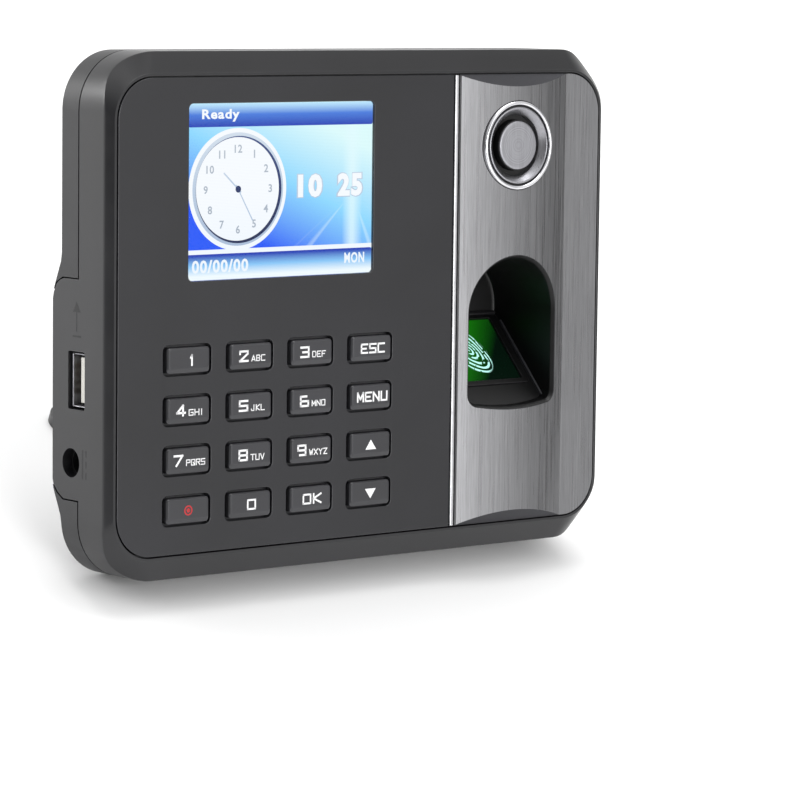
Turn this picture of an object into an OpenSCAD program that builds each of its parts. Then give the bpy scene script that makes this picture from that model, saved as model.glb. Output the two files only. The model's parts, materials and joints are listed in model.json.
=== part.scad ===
// Fingerprint scanner terminal on its desk stand.
// The terminal is drawn upright: X to the right, Y from the front panel to the back, Z up, with its origin
// in the middle of the front panel's face. leaned() then tips it back onto the stand, so that the stand's
// foot lies on z = 0. All lengths are in millimetres.

/* [Housing] */
// Width across the side walls
body_w = 160; // [158:1:164]
// Height from the bottom wall to the top wall
body_h = 129; // [128:1:134]
// Radius of the housing's four corners, seen from the front
body_r = 14.5; // [12:0.5:16]
// Wall thickness of both housings
wall = 2.2; // [1.8:0.1:2.4]
// Depth of the parting line behind the front panel's face
parting_y = 12.5; // [12:0.1:13]
// Depth at which the rear housing's side wall ends
shoulder_y = 19.6; // [19:0.1:20.5]
// Depth of the flat back face
back_y = 28.5; // [28:0.1:29.5]
// Angle by which the terminal leans back on its stand
lean = 25; // [20:1:28]

/* [Front panel] */
// Width of the recess that holds the panel and the fascia
recess_w = 155; // [154:0.5:155]
// Height of the recess
recess_h = 117; // [116:0.5:118]
// Corner radius of the recess
recess_r = 10.5; // [9:0.5:11]
// Thickness of the front panel, and depth of the deck behind it
panel_t = 2; // [1.8:0.1:2.2]
// Thickness of the deck that carries the panel
deck_t = 2; // [1.8:0.1:2.2]
// Clearance between a set-in piece and its recess
gap = 0.3; // [0.25:0.05:0.4]
// Left edge of the bright trim strip
strip_x = 27.7; // [27.5:0.1:28]
// Width of the trim strip
strip_w = 1.2; // [1:0.1:1.4]

/* [Display] */
// Width of the visible display window
window_w = 57.6; // [57:0.2:58]
// Height of the visible display window
window_h = 43.2; // [43:0.2:44]
// Sideways place of the window's middle
window_x = -27.4; // [-28:0.2:-27]
// Height of the window's middle
window_z = 30.2; // [30:0.2:31]

/* [Keypad] */
// Spacing of the key columns
key_pitch_x = 19.05; // [18.8:0.05:19.2]
// Spacing of the key rows
key_pitch_z = 12.3; // [12:0.1:12.4]
// Sideways place of the first column
key_x0 = -56.4; // [-57:0.2:-56]
// Height of the top row
key_z0 = -10.5; // [-10.8:0.1:-10]
// Width of a key's window in the panel
key_win_w = 14.5; // [14:0.1:14.6]
// Height of a key's window in the panel
key_win_h = 7.6; // [7.4:0.1:7.8]
// Travel of a key
key_travel = 1; // [0.8:0.1:1]

/* [Fingerprint reader] */
// Sideways place of the ring and of the finger well
reader_x = 47.5; // [47:0.1:48]
// Height of the ring's middle
ring_z = 39.9; // [39:0.1:41]
// Outer radius of the chrome ring
ring_r = 11.5; // [11:0.1:12]
// Radius of the round button
button_r = 6.45; // [6:0.05:6.5]
// Half the width of the finger well
well_r = 15; // [14.5:0.1:15]
// Height of the middle of the well's round top
well_arch_z = -3.5; // [-4:0.1:-3]
// Lowest point of the well's mouth
well_low_z = -29; // [-29.5:0.1:-28.5]
// Depth of the well
well_depth = 22.2; // [22:0.1:22.4]
// Slope of the sensor above the horizontal
ramp_angle = 47; // [45:1:48]
// Height of the fascia's swell
swell_h = 2.4; // [2:0.1:2.6]
// Sideways place of the swell's right-hand edge
swell_x1 = 65.7; // [65:0.1:66]

/* [Ports] */
// Height of the middle of the data socket
usb_z = -15.4; // [-16:0.1:-15]
// Depth of the middle of the data socket
usb_y = 13.3; // [13:0.1:13.4]
// Height of the middle of the power socket
dc_z = -35.7; // [-36:0.1:-35.5]
// Depth of the middle of the power socket
dc_y = 15.5; // [15.3:0.1:15.7]

/* [Stand] */
// Width of the stand plate
stand_w = 82; // [80:1:82]
// Thickness of the stand plate
stand_t = 2.4; // [2.2:0.1:2.4]
// Radius of the stand's bend, at the middle of the plate
stand_bend_r = 10; // [9.5:0.1:10.5]
// Length of the flat foot
foot_len = 53; // [50:1:56]

/* [Hidden] */
$fn = 64;
eps = 0.01;

// Rim of the front housing: flat lip, then a bevel that is wider along the top and the bottom
lip_w = 0.9;
bevel_y = 2;
corner_bevel_y = 5;
dome_inset_x = 21;
dome_inset_top = 9;
dome_inset_low = 18;
dome_r = 9;

// Port wall: the front housing's left wall runs back between these heights
port_top_z = 9.3;
port_low_z = -44.9;
port_back_y = 23.6;
port_wall_t = 2.6;
cheek_x = -71;

// Screw places, the same at all four corners
screw_x = 65.5;
screw_z = 50;
screw_head_y = 17;
boss_r = 4.9;

// Board stack
board_y = 16.2;
board_t = 1.6;
board_x0 = -75.5;
board_x1 = 28;
board_half_h = 43;
board_screw_x = [-56, 20];
board_screw_z = [-34, 36];

// Swell of the fascia: a circular arc from just left of the fascia's edge to swell_x1
fascia_x0 = strip_x + strip_w + 0.6;
swell_x0 = fascia_x0 - 0.6;
fascia_x1 = recess_w / 2 - gap;
fascia_top = recess_h / 2 - gap;
swell_chord = swell_x1 - swell_x0;
swell_mid_x = (swell_x0 + swell_x1) / 2;
swell_r = (pow(swell_chord / 2, 2) + pow(swell_h, 2)) / (2 * swell_h);
swell_end_run = 3.1;

// Ramp that carries the sensor, from the well's lower lip up and back
ramp_y0 = 1;
ramp_z0 = -28.5;
glass_w = 21;
glass_low = 8.7;
glass_len = 20.3;
sensor_t = 6.2;

// Stand: the plate hangs in a guide inside the rear housing, bends, and ends in the foot on the desk
desk_drop = body_h / 2 * cos(lean) + shoulder_y * sin(lean);
stand_y = 25;
bend_y = stand_y + stand_bend_r;
bend_z = (stand_bend_r + stand_t / 2 - desk_drop + bend_y * sin(lean)) / cos(lean);
stand_top_z = -21;
bend_desk_y = bend_y * cos(lean) + bend_z * sin(lean);
foot_r = 8;
origin_desk_y = bend_desk_y + 6;
foot_hole_a = 25;
foot_hole_b = 10;
foot_hole_y = 30;

key_names = [
    ["key_1", "key_2", "key_3", "key_esc"],
    ["key_4", "key_5", "key_6", "key_menu"],
    ["key_7", "key_8", "key_9", "key_up"],
    ["key_power", "key_0", "key_ok", "key_down"]
];

/* Placing helpers */

// Tips the upright terminal back and sets the stand's foot on z = 0
module leaned() {
    translate([0, -origin_desk_y, desk_drop])
        rotate([-lean, 0, 0])
            children();
}

// Extrudes an outline drawn in X and Z, as seen from the front, from depth y0 to depth y1
module front_extrude(y0, y1) {
    translate([0, y1, 0])
        rotate([90, 0, 0])
            linear_extrude(y1 - y0)
                children();
}

// Extrudes an outline drawn in Y and Z, as seen from the side, from x0 to x1
module side_extrude(x0, x1) {
    translate([x0, 0, 0])
        rotate([90, 0, 90])
            linear_extrude(x1 - x0)
                children();
}

// Cylinder along Y
module rod_y(x, z, r, y0, y1) {
    translate([x, y1, z])
        rotate([90, 0, 0])
            cylinder(r = r, h = y1 - y0);
}

// Cylinder along X
module rod_x(y, z, r, x0, x1) {
    translate([x0, y, z])
        rotate([0, 90, 0])
            cylinder(r = r, h = x1 - x0);
}

// Box between two corners
module box(low, high) {
    translate(low)
        cube(high - low);
}

// Rectangle with round corners, centred
module round_rect(w, h, r) {
    square([w - 2 * r, h], center = true);
    square([w, h - 2 * r], center = true);
    for (sx = [-1, 1], sz = [-1, 1])
        translate([sx * (w / 2 - r), sz * (h / 2 - r)])
            circle(r);
}

// Puts its children at every key
module at_keys() {
    for (row = [0 : 3], col = [0 : 3])
        translate([key_x0 + col * key_pitch_x, 0, key_z0 - row * key_pitch_z])
            children();
}

// Puts its children at the four housing screws
module at_housing_screws() {
    for (sx = [-1, 1], sz = [-1, 1])
        translate([sx * screw_x, 0, sz * screw_z])
            children();
}

// Puts its children at the four board screws
module at_board_screws() {
    for (x = board_screw_x, z = board_screw_z)
        translate([x, 0, z])
            children();
}

// Frame of the ramp: local Y runs up the slope and local Z points out of it, towards the finger
module on_ramp() {
    translate([reader_x, ramp_y0, ramp_z0])
        rotate([ramp_angle, 0, 0])
            children();
}

/* Outlines */

// Mouth of the finger well, grown outwards by g
module well_outline(g) {
    low = well_low_z + 1.2;
    bow_r = 72;
    corner_r = 3.5;
    translate([reader_x, well_arch_z])
        circle(well_r + g);
    translate([reader_x - well_r - g, low + corner_r])
        square([2 * (well_r + g), well_arch_z - low - corner_r]);
    for (sx = [-1, 1])
        translate([reader_x + sx * (well_r - corner_r), low + corner_r])
            circle(corner_r + g);
    intersection() {
        translate([reader_x, well_low_z + bow_r])
            circle(bow_r + g);
        translate([reader_x - well_r + corner_r, well_low_z - g])
            square([2 * (well_r - corner_r), 6 + 2 * g]);
    }
}

// Side profile of the raised cheek around the ports, seen from the left
module cheek_profile() {
    polygon([
        [parting_y, 18.5], [shoulder_y - 0.6, 18.5], [20, 13.2], [22.9, 6.6], [port_back_y, 3],
        [port_back_y, -40.5], [22.9, -43], [20, -49], [shoulder_y - 0.6, -54.5], [parting_y, -54.5]
    ]);
}

// Side profile of the port wall: the cheek's profile between the two parting steps
module port_profile(grow) {
    polygon([
        [parting_y - 1, port_top_z + grow], [19 + grow, port_top_z + grow],
        [22 + grow, port_top_z - 1.6 + grow], [port_back_y + grow, 4 + grow],
        [port_back_y + grow, -40.8 - grow], [21.4 + grow, -43.4 - grow],
        [18.8 + grow, port_low_z - grow], [parting_y - 1, port_low_z - grow]
    ]);
}

/* Housings */

module front_rim() {
    hull() {
        front_extrude(0, eps) round_rect(recess_w + 2 * lip_w, recess_h + 2 * lip_w, recess_r, $fn = 48);
        front_extrude(bevel_y, bevel_y + eps) square([body_w - 2 * body_r, body_h], center = true);
        front_extrude(bevel_y, bevel_y + eps) square([body_w, body_h - 2 * body_r], center = true);
        front_extrude(corner_bevel_y, corner_bevel_y + eps) round_rect(body_w, body_h, body_r, $fn = 64);
    }
}

module front_housing() {
    inner_w = body_w - 2 * wall;
    inner_h = body_h - 2 * wall;
    deck_y = panel_t + deck_t;
    color("#1d1d20") leaned() difference() {
        union() {
            front_rim();
            front_extrude(corner_bevel_y, parting_y) round_rect(body_w, body_h, body_r);
            intersection() {
                side_extrude(-body_w / 2, port_wall_t - body_w / 2) port_profile(0);
                front_extrude(parting_y - 1, port_back_y + 1) round_rect(body_w, body_h, body_r);
            }
        }
        front_extrude(-1, panel_t) round_rect(recess_w, recess_h, recess_r);
        difference() {
            front_extrude(deck_y, parting_y + 1) round_rect(inner_w, inner_h, body_r - wall);
            at_housing_screws() rod_y(0, 0, 3.8, deck_y - 1, parting_y + 1.5);
        }
        at_housing_screws() rod_y(0, 0, 1.5, 5.5, parting_y + 2);
        display_seat();
        key_field();
        front_extrude(panel_t - 1, deck_y + 1) well_outline(2);
        rod_y(reader_x, ring_z, 10, panel_t - 1, deck_y + 1);
        usb_port();
        rod_x(dc_y, dc_z, 3.6, -body_w / 2 - 1, -body_w / 2 + port_wall_t + 1);
        port_marks();
    }
}

// Seat in the deck for the display
module display_seat() {
    box([window_x - 35, panel_t - 1, window_z - 25.4], [window_x + 35, panel_t + deck_t + 1, window_z + 25.4]);
}

// One opening in the deck behind the whole key field
module key_field() {
    box([key_x0 - 9, panel_t - 1, key_z0 - 3 * key_pitch_z - 6], [key_x0 + 3 * key_pitch_x + 9, 5, key_z0 + 6]);
}

// Opening for the data socket
module usb_port() {
    box([-body_w / 2 - 1, usb_y - 3.5, usb_z - 7.1], [-body_w / 2 + port_wall_t + 1, usb_y + 3.5, usb_z + 7.1]);
}

// Engraved marks beside the ports: an arrow into a socket, and a direct-current sign
module port_marks() {
    depth = 0.3;
    x0 = -body_w / 2 - 1;
    x1 = -body_w / 2 + depth;
    arrow_z = 0;
    box([x0, usb_y - 0.3, arrow_z - 3.5], [x1, usb_y + 0.3, arrow_z + 2.6]);
    side_extrude(x0, x1)
        polygon([[usb_y - 1.7, arrow_z - 2], [usb_y + 1.7, arrow_z - 2], [usb_y, arrow_z - 4.4]]);
    box([x0, usb_y - 2, arrow_z + 3.2], [x1, usb_y + 2, arrow_z + 3.8]);
    box([x0, 10.2, dc_z - 3.6], [x1, 10.8, dc_z + 3.6]);
    for (k = [-1 : 1])
        box([x0, 8.8, dc_z + k * 2.7 - 0.9], [x1, 9.4, dc_z + k * 2.7 + 0.9]);
}

// Outer shape of the rear housing, made smaller by s for the space inside
module rear_shell(s) {
    w = body_w - 2 * s;
    h = body_h - 2 * s;
    flat_w = body_w - 2 * dome_inset_x;
    flat_h = body_h - dome_inset_top - dome_inset_low;
    front_extrude(parting_y + 0.25 - s, shoulder_y) round_rect(w, h, body_r - s);
    hull() {
        front_extrude(shoulder_y - 0.1, shoulder_y) round_rect(w, h, body_r - s, $fn = 48);
        translate([0, 0, (dome_inset_low - dome_inset_top) / 2])
            front_extrude(back_y - s - 0.1, back_y - s)
                round_rect(flat_w - s, flat_h - s, dome_r, $fn = 48);
    }
}

module rear_housing() {
    pocket_x = 32.8;
    color("#19191b") leaned() difference() {
        union() {
            difference() {
                union() {
                    rear_shell(0);
                    intersection() {
                        side_extrude(-body_w / 2, cheek_x) cheek_profile();
                        front_extrude(parting_y + 0.25, port_back_y + 1) round_rect(body_w, body_h, body_r);
                    }
                }
                rear_shell(wall);
                box([-body_w / 2 + 2 * wall, parting_y, -41], [cheek_x - 1, port_back_y - wall, 2]);
            }
            intersection() {
                rear_shell(0);
                union() {
                    at_housing_screws() rod_y(0, 0, boss_r, parting_y + 2.6, back_y);
                    at_board_screws() rod_y(0, 0, 3, board_y + board_t, back_y);
                    for (sx = [-1, 1])
                        hook_pocket_walls(sx * pocket_x);
                    stand_guide_walls();
                }
            }
        }
        side_extrude(-body_w / 2 - 1, -body_w / 2 + port_wall_t + 0.3) port_profile(0.25);
        at_housing_screws() rod_y(0, 0, 3.4, screw_head_y, back_y + 1);
        at_housing_screws() rod_y(0, 0, 1.6, parting_y, back_y);
        at_board_screws() rod_y(0, 0, 1.1, board_y, board_y + board_t + 6);
        for (sx = [-1, 1])
            hook_pocket(sx * pocket_x);
        stand_guide();
        rod_y(0, -34, 1.1, back_y - 0.6, back_y + 1);
    }
}

hook_w = 18;
hook_h = 14.4;
hook_z = 15.5;
hook_depth = 4.2;

// Wall-hook pocket: open at the back face and blind towards the front
module hook_pocket(x) {
    box([x - hook_w / 2, back_y - hook_depth, hook_z - hook_h / 2], [x + hook_w / 2, back_y + 1, hook_z + hook_h / 2]);
}

module hook_pocket_walls(x) {
    t = 1;
    box(
        [x - hook_w / 2 - t, back_y - hook_depth - t, hook_z - hook_h / 2 - t],
        [x + hook_w / 2 + t, back_y - 1, hook_z + hook_h / 2 + t]
    );
}

// Guide that holds the stand plate, open at the slot in the lower back
module stand_guide_walls() {
    half = stand_w / 2 + 2;
    box([-half, stand_y - stand_t / 2 - 1.6, -57], [half, back_y - 1, stand_top_z + 2]);
}

module stand_guide() {
    half = stand_w / 2 + 0.4;
    near = stand_y - stand_t / 2 - 0.35;
    far = stand_y + stand_t / 2 + 0.35;
    box([-half, near, -70], [half, far, stand_top_z + 0.5]);
    box([-half, near, -70], [half, back_y + 5, -45.5]);
}

/* Panel and fascia */

module front_panel() {
    top = recess_h / 2 - gap;
    color("#2b2b2e") leaned() difference() {
        intersection() {
            front_extrude(0, panel_t) round_rect(recess_w - 2 * gap, recess_h - 2 * gap, recess_r - gap);
            box([-recess_w, -1, -top - 1], [strip_x - 0.1, panel_t + 1, top + 1]);
        }
        translate([window_x, 0, window_z])
            front_extrude(-1, panel_t + 1)
                round_rect(window_w, window_h, 1.2);
        at_keys() front_extrude(-1, panel_t + 1) round_rect(key_win_w, key_win_h, 1.5);
    }
}

module display_window() {
    color("#8fb6e8") leaned()
        translate([window_x, 0, window_z])
            front_extrude(0.02, panel_t)
                round_rect(window_w - 0.1, window_h - 0.1, 1.15);
}

module trim_strip() {
    half = recess_h / 2 - gap - 0.1;
    color("#e8e8ea") leaned()
        box([strip_x, -0.35, -half], [strip_x + strip_w, panel_t, half]);
}

// Flat plate of the fascia, square on the left and round at the two right-hand corners
module fascia_outline() {
    intersection() {
        round_rect(recess_w - 2 * gap, recess_h - 2 * gap, recess_r - gap);
        translate([fascia_x0, -recess_h])
            square([fascia_x1 - fascia_x0, 2 * recess_h]);
    }
}

// Section of the fascia, seen from above: a flat plate with a convex swell on its front
module fascia_section() {
    translate([fascia_x0, 0])
        square([fascia_x1 - fascia_x0, panel_t]);
    intersection() {
        translate([swell_mid_x, swell_r - swell_h])
            circle(swell_r, $fn = 128);
        translate([fascia_x0, -swell_h - 1])
            square([swell_x1 + 0.8 - fascia_x0, swell_h + 2]);
    }
}

// Wedge that slopes the end of the swell down to the fascia's edge; side is 1 at the top, -1 at the bottom
module swell_end(side) {
    rise = 4;
    run = swell_end_run / swell_h;
    side_extrude(fascia_x0 - 1, swell_x1 + 1)
        polygon([
            [0, side * fascia_top], [-rise, side * (fascia_top - rise * run)],
            [-rise, side * (fascia_top + 2)], [0, side * (fascia_top + 2)]
        ]);
}

module sensor_fascia() {
    color("#8e8e92") leaned() difference() {
        intersection() {
            translate([0, 0, -recess_h / 2])
                linear_extrude(recess_h)
                    fascia_section();
            front_extrude(-swell_h - 1, panel_t) fascia_outline();
        }
        for (side = [-1, 1])
            swell_end(side);
        front_extrude(-swell_h - 1, panel_t + 1) well_outline(0);
        rod_y(reader_x, ring_z, ring_r - 1.5, -swell_h - 1, panel_t + 1);
        rod_y(reader_x, ring_z, ring_r + 0.1, -swell_h - 1, -0.6);
    }
}

// Chrome ring, dished inwards to the floor around the button
module ring_bezel() {
    color("#d9d9dc") leaned()
        translate([reader_x, 0, ring_z])
            rotate([90, 0, 0])
                rotate_extrude($fn = 96)
                    polygon([
                        [6.8, -3.4], [9.8, -3.4], [9.8, 0.65], [ring_r, 0.65], [ring_r, 2.2], [ring_r - 0.5, 2.8],
                        [10.2, 2.8], [9.7, 2.5], [7.6, 0.8], [6.8, 0.8]
                    ]);
}

// Round push button with a retaining flange behind the ring
module ring_button() {
    color("#a4a4a8") leaned() {
        rod_y(reader_x, ring_z, button_r, -2.3, 3.6);
        rod_y(reader_x, ring_z, 8.4, 3.7, 4.5);
        rod_y(reader_x, ring_z, 2, 3, 5.4);
    }
}

module button_switch() {
    color("#2f6b3a") leaned() {
        box([reader_x - 14, 10.4, ring_z - 10], [reader_x + 14, 12, ring_z + 10]);
        box([reader_x - 3, 7.6, ring_z - 3], [reader_x + 3, 10.4, ring_z + 3]);
        rod_y(reader_x, ring_z, 1.7, 6.7, 7.7);
    }
}

/* Fingerprint reader */

module finger_well() {
    skin = 1.4;
    back_skin = 0.8;
    color("#141416") leaned() difference() {
        intersection() {
            front_extrude(panel_t, well_depth + back_skin) well_outline(skin);
            on_ramp() box([-30, -20, -8], [30, 60, 60]);
        }
        intersection() {
            front_extrude(panel_t - 1, well_depth) well_outline(-0.2);
            on_ramp() box([-30, -20, 0], [30, 60, 60]);
        }
        on_ramp() box([-glass_w / 2 - 2, glass_low - 2, -9], [glass_w / 2 + 2, glass_low + glass_len + 1.2, -0.4]);
        on_ramp() box([-glass_w / 2, glass_low, -1], [glass_w / 2, glass_low + glass_len, 1]);
    }
}

module sensor_glass() {
    color("#1fae3a") leaned()
        on_ramp()
            box([-glass_w / 2 + 0.1, glass_low + 0.1, -1.8], [glass_w / 2 - 0.1, glass_low + glass_len - 0.1, -0.1]);
}

module sensor_block() {
    color("#222225") leaned()
        on_ramp()
            box([-glass_w / 2 - 1.5, glass_low - 1.5, -5], [glass_w / 2 + 1.5, glass_low + glass_len + 0.8, -1.8]);
}

module sensor_board() {
    color("#2f6b3a") leaned()
        on_ramp()
            box([-glass_w / 2 - 1.5, glass_low - 1.5, -sensor_t], [glass_w / 2 + 1.5, glass_low + glass_len + 0.8, -5]);
}

// Ribbon from the sensor's board, down past the well's floor and sideways to the main board's edge
module sensor_ribbon() {
    t = 0.3;
    side = -glass_w / 2 - 1.4;
    floor_n = -9;
    color("#d8cfa8") leaned() on_ramp() {
        box([side, 9, -sensor_t - t], [side + 6, 15, -sensor_t]);
        box([side, 9, floor_n - t], [side + t, 15, -sensor_t]);
        box([board_x1 - reader_x, 9, floor_n - t], [side + t, 15, floor_n]);
    }
}

/* Display */

module display_panel() {
    color("#3a5f9a") leaned()
        box([window_x - 34.2, panel_t + 0.02, window_z - 25], [window_x + 34.2, panel_t + 1.3, window_z + 25]);
}

module display_backlight() {
    color("#d6d6d8") leaned()
        box([window_x - 34.2, panel_t + 1.3, window_z - 25], [window_x + 34.2, panel_t + 4, window_z + 25]);
}

module display_ribbon() {
    back = panel_t + 4;
    color("#c98f3a") leaned() {
        box([window_x - 8, back, window_z - 26], [window_x + 8, back + 0.3, window_z - 15]);
        box([window_x - 8, back + 0.3, window_z - 26], [window_x + 8, board_y, window_z - 25.7]);
    }
}

/* Keypad */

// Key cap: chamfered top, straight sides, retaining flange and a post that meets the mat
module key_cap(row, col) {
    top_w = 12.8;
    top_h = 6.2;
    proud = 0.8;
    color("#3d3d40") leaned()
        translate([key_x0 + col * key_pitch_x, 0, key_z0 - row * key_pitch_z]) {
            difference() {
                front_extrude(-proud, panel_t + 0.5) round_rect(top_w, top_h, 0.7, $fn = 32);
                for (s = [-1, 1])
                    translate([0, -proud, s * top_h / 2])
                        rotate([45, 0, 0])
                            cube([top_w + 1, 0.6, 0.6], center = true);
            }
            front_extrude(panel_t + 0.3, panel_t + 1.1) round_rect(16, 9, 1, $fn = 32);
            rod_y(0, 0, 1.6, panel_t + 1, panel_t + 2);
        }
}

// Notch that lets the lower left screw boss past the mat and the keypad's board
module boss_notch() {
    rod_y(-screw_x, -screw_z, 4.2, 5, 9);
}

// Silicone mat: a web with one boss behind each key
module keypad_mat() {
    x0 = key_x0 - 8.6;
    x1 = key_x0 + 3 * key_pitch_x + 8.6;
    color("#c9c9c4") leaned() {
        difference() {
            box([x0, 5.9, key_z0 - 3 * key_pitch_z - 5.6], [x1, 6.8, key_z0 + 5.6]);
            boss_notch();
        }
        at_keys() rod_y(0, 0, 3, 5.3, 6);
    }
}

module keypad_board() {
    x0 = key_x0 - 9;
    x1 = key_x0 + 3 * key_pitch_x + 9;
    color("#2f6b3a") leaned() difference() {
        box([x0, 6.8, key_z0 - 3 * key_pitch_z - 6.4], [x1, 8.4, key_z0 + 6.4]);
        boss_notch();
    }
}

module keypad_ribbon() {
    color("#c98f3a") leaned() {
        box([-34, 8.4, key_z0 - 8], [-20, 8.7, key_z0 + 6.4]);
        box([-34, 8.7, key_z0 + 6.1], [-20, board_y, key_z0 + 6.4]);
    }
}

/* Main electronics */

module main_board() {
    color("#2f6b3a") leaned() difference() {
        box([board_x0, board_y, -board_half_h], [board_x1, board_y + board_t, board_half_h]);
        box([board_x0 - 1, board_y - 1, dc_z - 5.2], [-62.5, board_y + 3, dc_z + 5.2]);
        at_board_screws() rod_y(0, 0, 1.3, board_y - 1, board_y + 3);
        for (sz = [-1, 1])
            box([board_x0 - 1, board_y - 1, sz * 43 - 6], [-59.5, board_y + 3, sz * 43 + 6]);
    }
}

// Processor and two memory chips on the back of the board
module board_chips() {
    y0 = board_y + board_t;
    color("#202022") leaned() {
        box([-44, y0, 2], [-30, y0 + 1.2, 16]);
        box([-24, y0, -4], [-14, y0 + 1.1, 8]);
        box([-8, y0, -4], [2, y0 + 1.1, 8]);
    }
}

// Metal shell of the data socket, closed at its inner end
module usb_socket_shell() {
    x0 = -body_w / 2 + 0.9;
    color("#c8c8cc") leaned() difference() {
        box([x0, usb_y - 2.9, usb_z - 6.6], [x0 + 14, usb_y + 2.9, usb_z + 6.6]);
        box([x0 - 1, usb_y - 2.56, usb_z - 6.25], [x0 + 13.6, usb_y + 2.56, usb_z + 6.25]);
    }
}

// Contact tongue inside the data socket
module usb_socket_tongue() {
    x0 = -body_w / 2 + 1.9;
    color("#dedee0") leaned() {
        box([x0, usb_y - 1.2, usb_z - 5.55], [x0 + 11, usb_y + 0.6, usb_z + 5.55]);
        box([x0 + 10, usb_y - 2.5, usb_z - 6.2], [x0 + 12.5, usb_y + 2.5, usb_z + 6.2]);
    }
}

// Barrel power socket: a block with a round bore
module dc_socket() {
    x0 = -body_w / 2 + port_wall_t + 0.2;
    color("#0f0f10") leaned() difference() {
        box([x0, dc_y - 4.6, dc_z - 4.6], [x0 + 13.5, dc_y + 4, dc_z + 4.6]);
        rod_x(dc_y, dc_z, 3.2, x0 - 1, x0 + 10.5);
    }
}

module dc_socket_pin() {
    x0 = -body_w / 2 + port_wall_t + 1.5;
    color("#b9b9bd") leaned() {
        rod_x(dc_y, dc_z, 1, x0, x0 + 9.2);
        translate([x0, dc_y, dc_z]) sphere(1);
    }
}

module buzzer() {
    color("#1b1b1d") leaned() difference() {
        rod_y(16, 20, 6, board_y - 6.6, board_y);
        rod_y(16, 20, 1, board_y - 7, board_y - 5);
    }
}

cell_x = 2;
cell_z = 22;

module backup_cell() {
    color("#c4c4c8") leaned()
        rod_y(cell_x, cell_z, 8, board_y + board_t + 0.8, board_y + board_t + 3.2);
}

// Open ring that holds the cell against the board
module cell_holder() {
    y0 = board_y + board_t;
    color("#26262a") leaned() difference() {
        rod_y(cell_x, cell_z, 9.4, y0, y0 + 2.6);
        rod_y(cell_x, cell_z, 8.02, y0 + 0.79, y0 + 4);
        box([cell_x - 4, y0 + 0.79, cell_z], [cell_x + 4, y0 + 4, cell_z + 12]);
    }
}

/* Fasteners */

// Self-tapping screw along Y with a cross recess in its head
module screw(head_r, head_t, shank_r, head_y, tip_y, faces_back) {
    side = faces_back ? 1 : -1;
    head_low = faces_back ? head_y : head_y - head_t;
    slot_y = head_y + side * head_t;
    color("#4a4a4e") difference() {
        union() {
            rod_y(0, 0, head_r, head_low, head_low + head_t);
            rod_y(0, 0, shank_r, min(tip_y, head_y), max(tip_y, head_y));
        }
        for (turn = [0, 90])
            translate([0, slot_y, 0])
                rotate([0, turn, 0])
                    cube([head_r * 1.2, head_t, 0.7], center = true);
    }
}

module housing_screws() {
    leaned() at_housing_screws() screw(2.7, 1.9, 1.45, screw_head_y, 6.5, true);
}

module board_screws() {
    leaned() at_board_screws() screw(2.2, 1.4, 1.05, board_y, board_y + board_t + 5, false);
}

/* Stand and labels */

// Side profile of the stand about the centre of its bend: neck, bend and foot in one strip
module stand_profile() {
    outer = stand_bend_r + stand_t / 2;
    inner = stand_bend_r - stand_t / 2;
    reach = 100;
    // The neck stands this far inside the bend's tangent, so that its faces cross the round ones cleanly
    slip = 0.01;
    difference() {
        union() {
            circle(outer, $fn = 96);
            translate([0, -outer]) square([foot_len, outer]);
            rotate(-lean) translate([slip - outer, 0]) square([outer, stand_top_z - bend_z]);
        }
        circle(inner, $fn = 96);
        translate([0, -inner]) square([reach, reach]);
        rotate(-lean) translate([slip - inner, 0]) square([inner + outer, reach]);
    }
}

// What is cut from the flat foot, seen from above: an oval hole and its two free corners
module foot_waste() {
    translate([0, foot_hole_y])
        polygon([for (a = [0 : 7.5 : 352.5]) [foot_hole_a * cos(a), foot_hole_b * sin(a)]]);
    for (side = [-1, 1])
        translate([side * (stand_w / 2 - foot_r), foot_len - foot_r])
            difference() {
                translate([side < 0 ? -foot_r - 1 : 0, 0]) square(foot_r + 1);
                circle(foot_r);
            }
}

module desk_stand() {
    color("#141415")
        translate([0, bend_desk_y - origin_desk_y, 0])
            difference() {
                translate([0, 0, stand_bend_r + stand_t / 2])
                    side_extrude(-stand_w / 2, stand_w / 2)
                        stand_profile();
                translate([0, 0, -1]) linear_extrude(stand_t + 2) foot_waste();
            }
}

// Thin label on the flat back face
module back_label(x, z, w, h, r, tint) {
    color(tint) leaned()
        translate([x, 0, z])
            front_extrude(back_y, back_y + 0.15)
                round_rect(w, h, r, $fn = 32);
}

module rating_label() {
    back_label(0, 40, 49, 30, 0.8, "#2a2a2c");
}

module barcode_label() {
    back_label(46.8, -25, 12.4, 37, 1, "#e9e9e9");
}

module seal_label() {
    color("#dcdce0") leaned() rod_y(44.6, 0, 6, back_y, back_y + 0.15);
}

front_housing();
rear_housing();
front_panel();
display_window();
trim_strip();
sensor_fascia();
ring_bezel();
ring_button();
button_switch();
finger_well();
sensor_glass();
sensor_block();
sensor_board();
sensor_ribbon();
display_panel();
display_backlight();
display_ribbon();
for (row = [0 : 3], col = [0 : 3])
    key_cap(row, col);
keypad_mat();
keypad_board();
keypad_ribbon();
main_board();
board_chips();
usb_socket_shell();
usb_socket_tongue();
dc_socket();
dc_socket_pin();
buzzer();
backup_cell();
cell_holder();
housing_screws();
board_screws();
desk_stand();
rating_label();
barcode_label();
seal_label();
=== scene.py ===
"""Looks of a fingerprint terminal that leans on its bent-plate desk stand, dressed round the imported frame."""

import json
import logging
import math
from collections.abc import Iterable, Sequence
from dataclasses import dataclass, field
from enum import Enum

import bmesh
import bpy
from mathutils import Matrix, Vector

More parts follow.
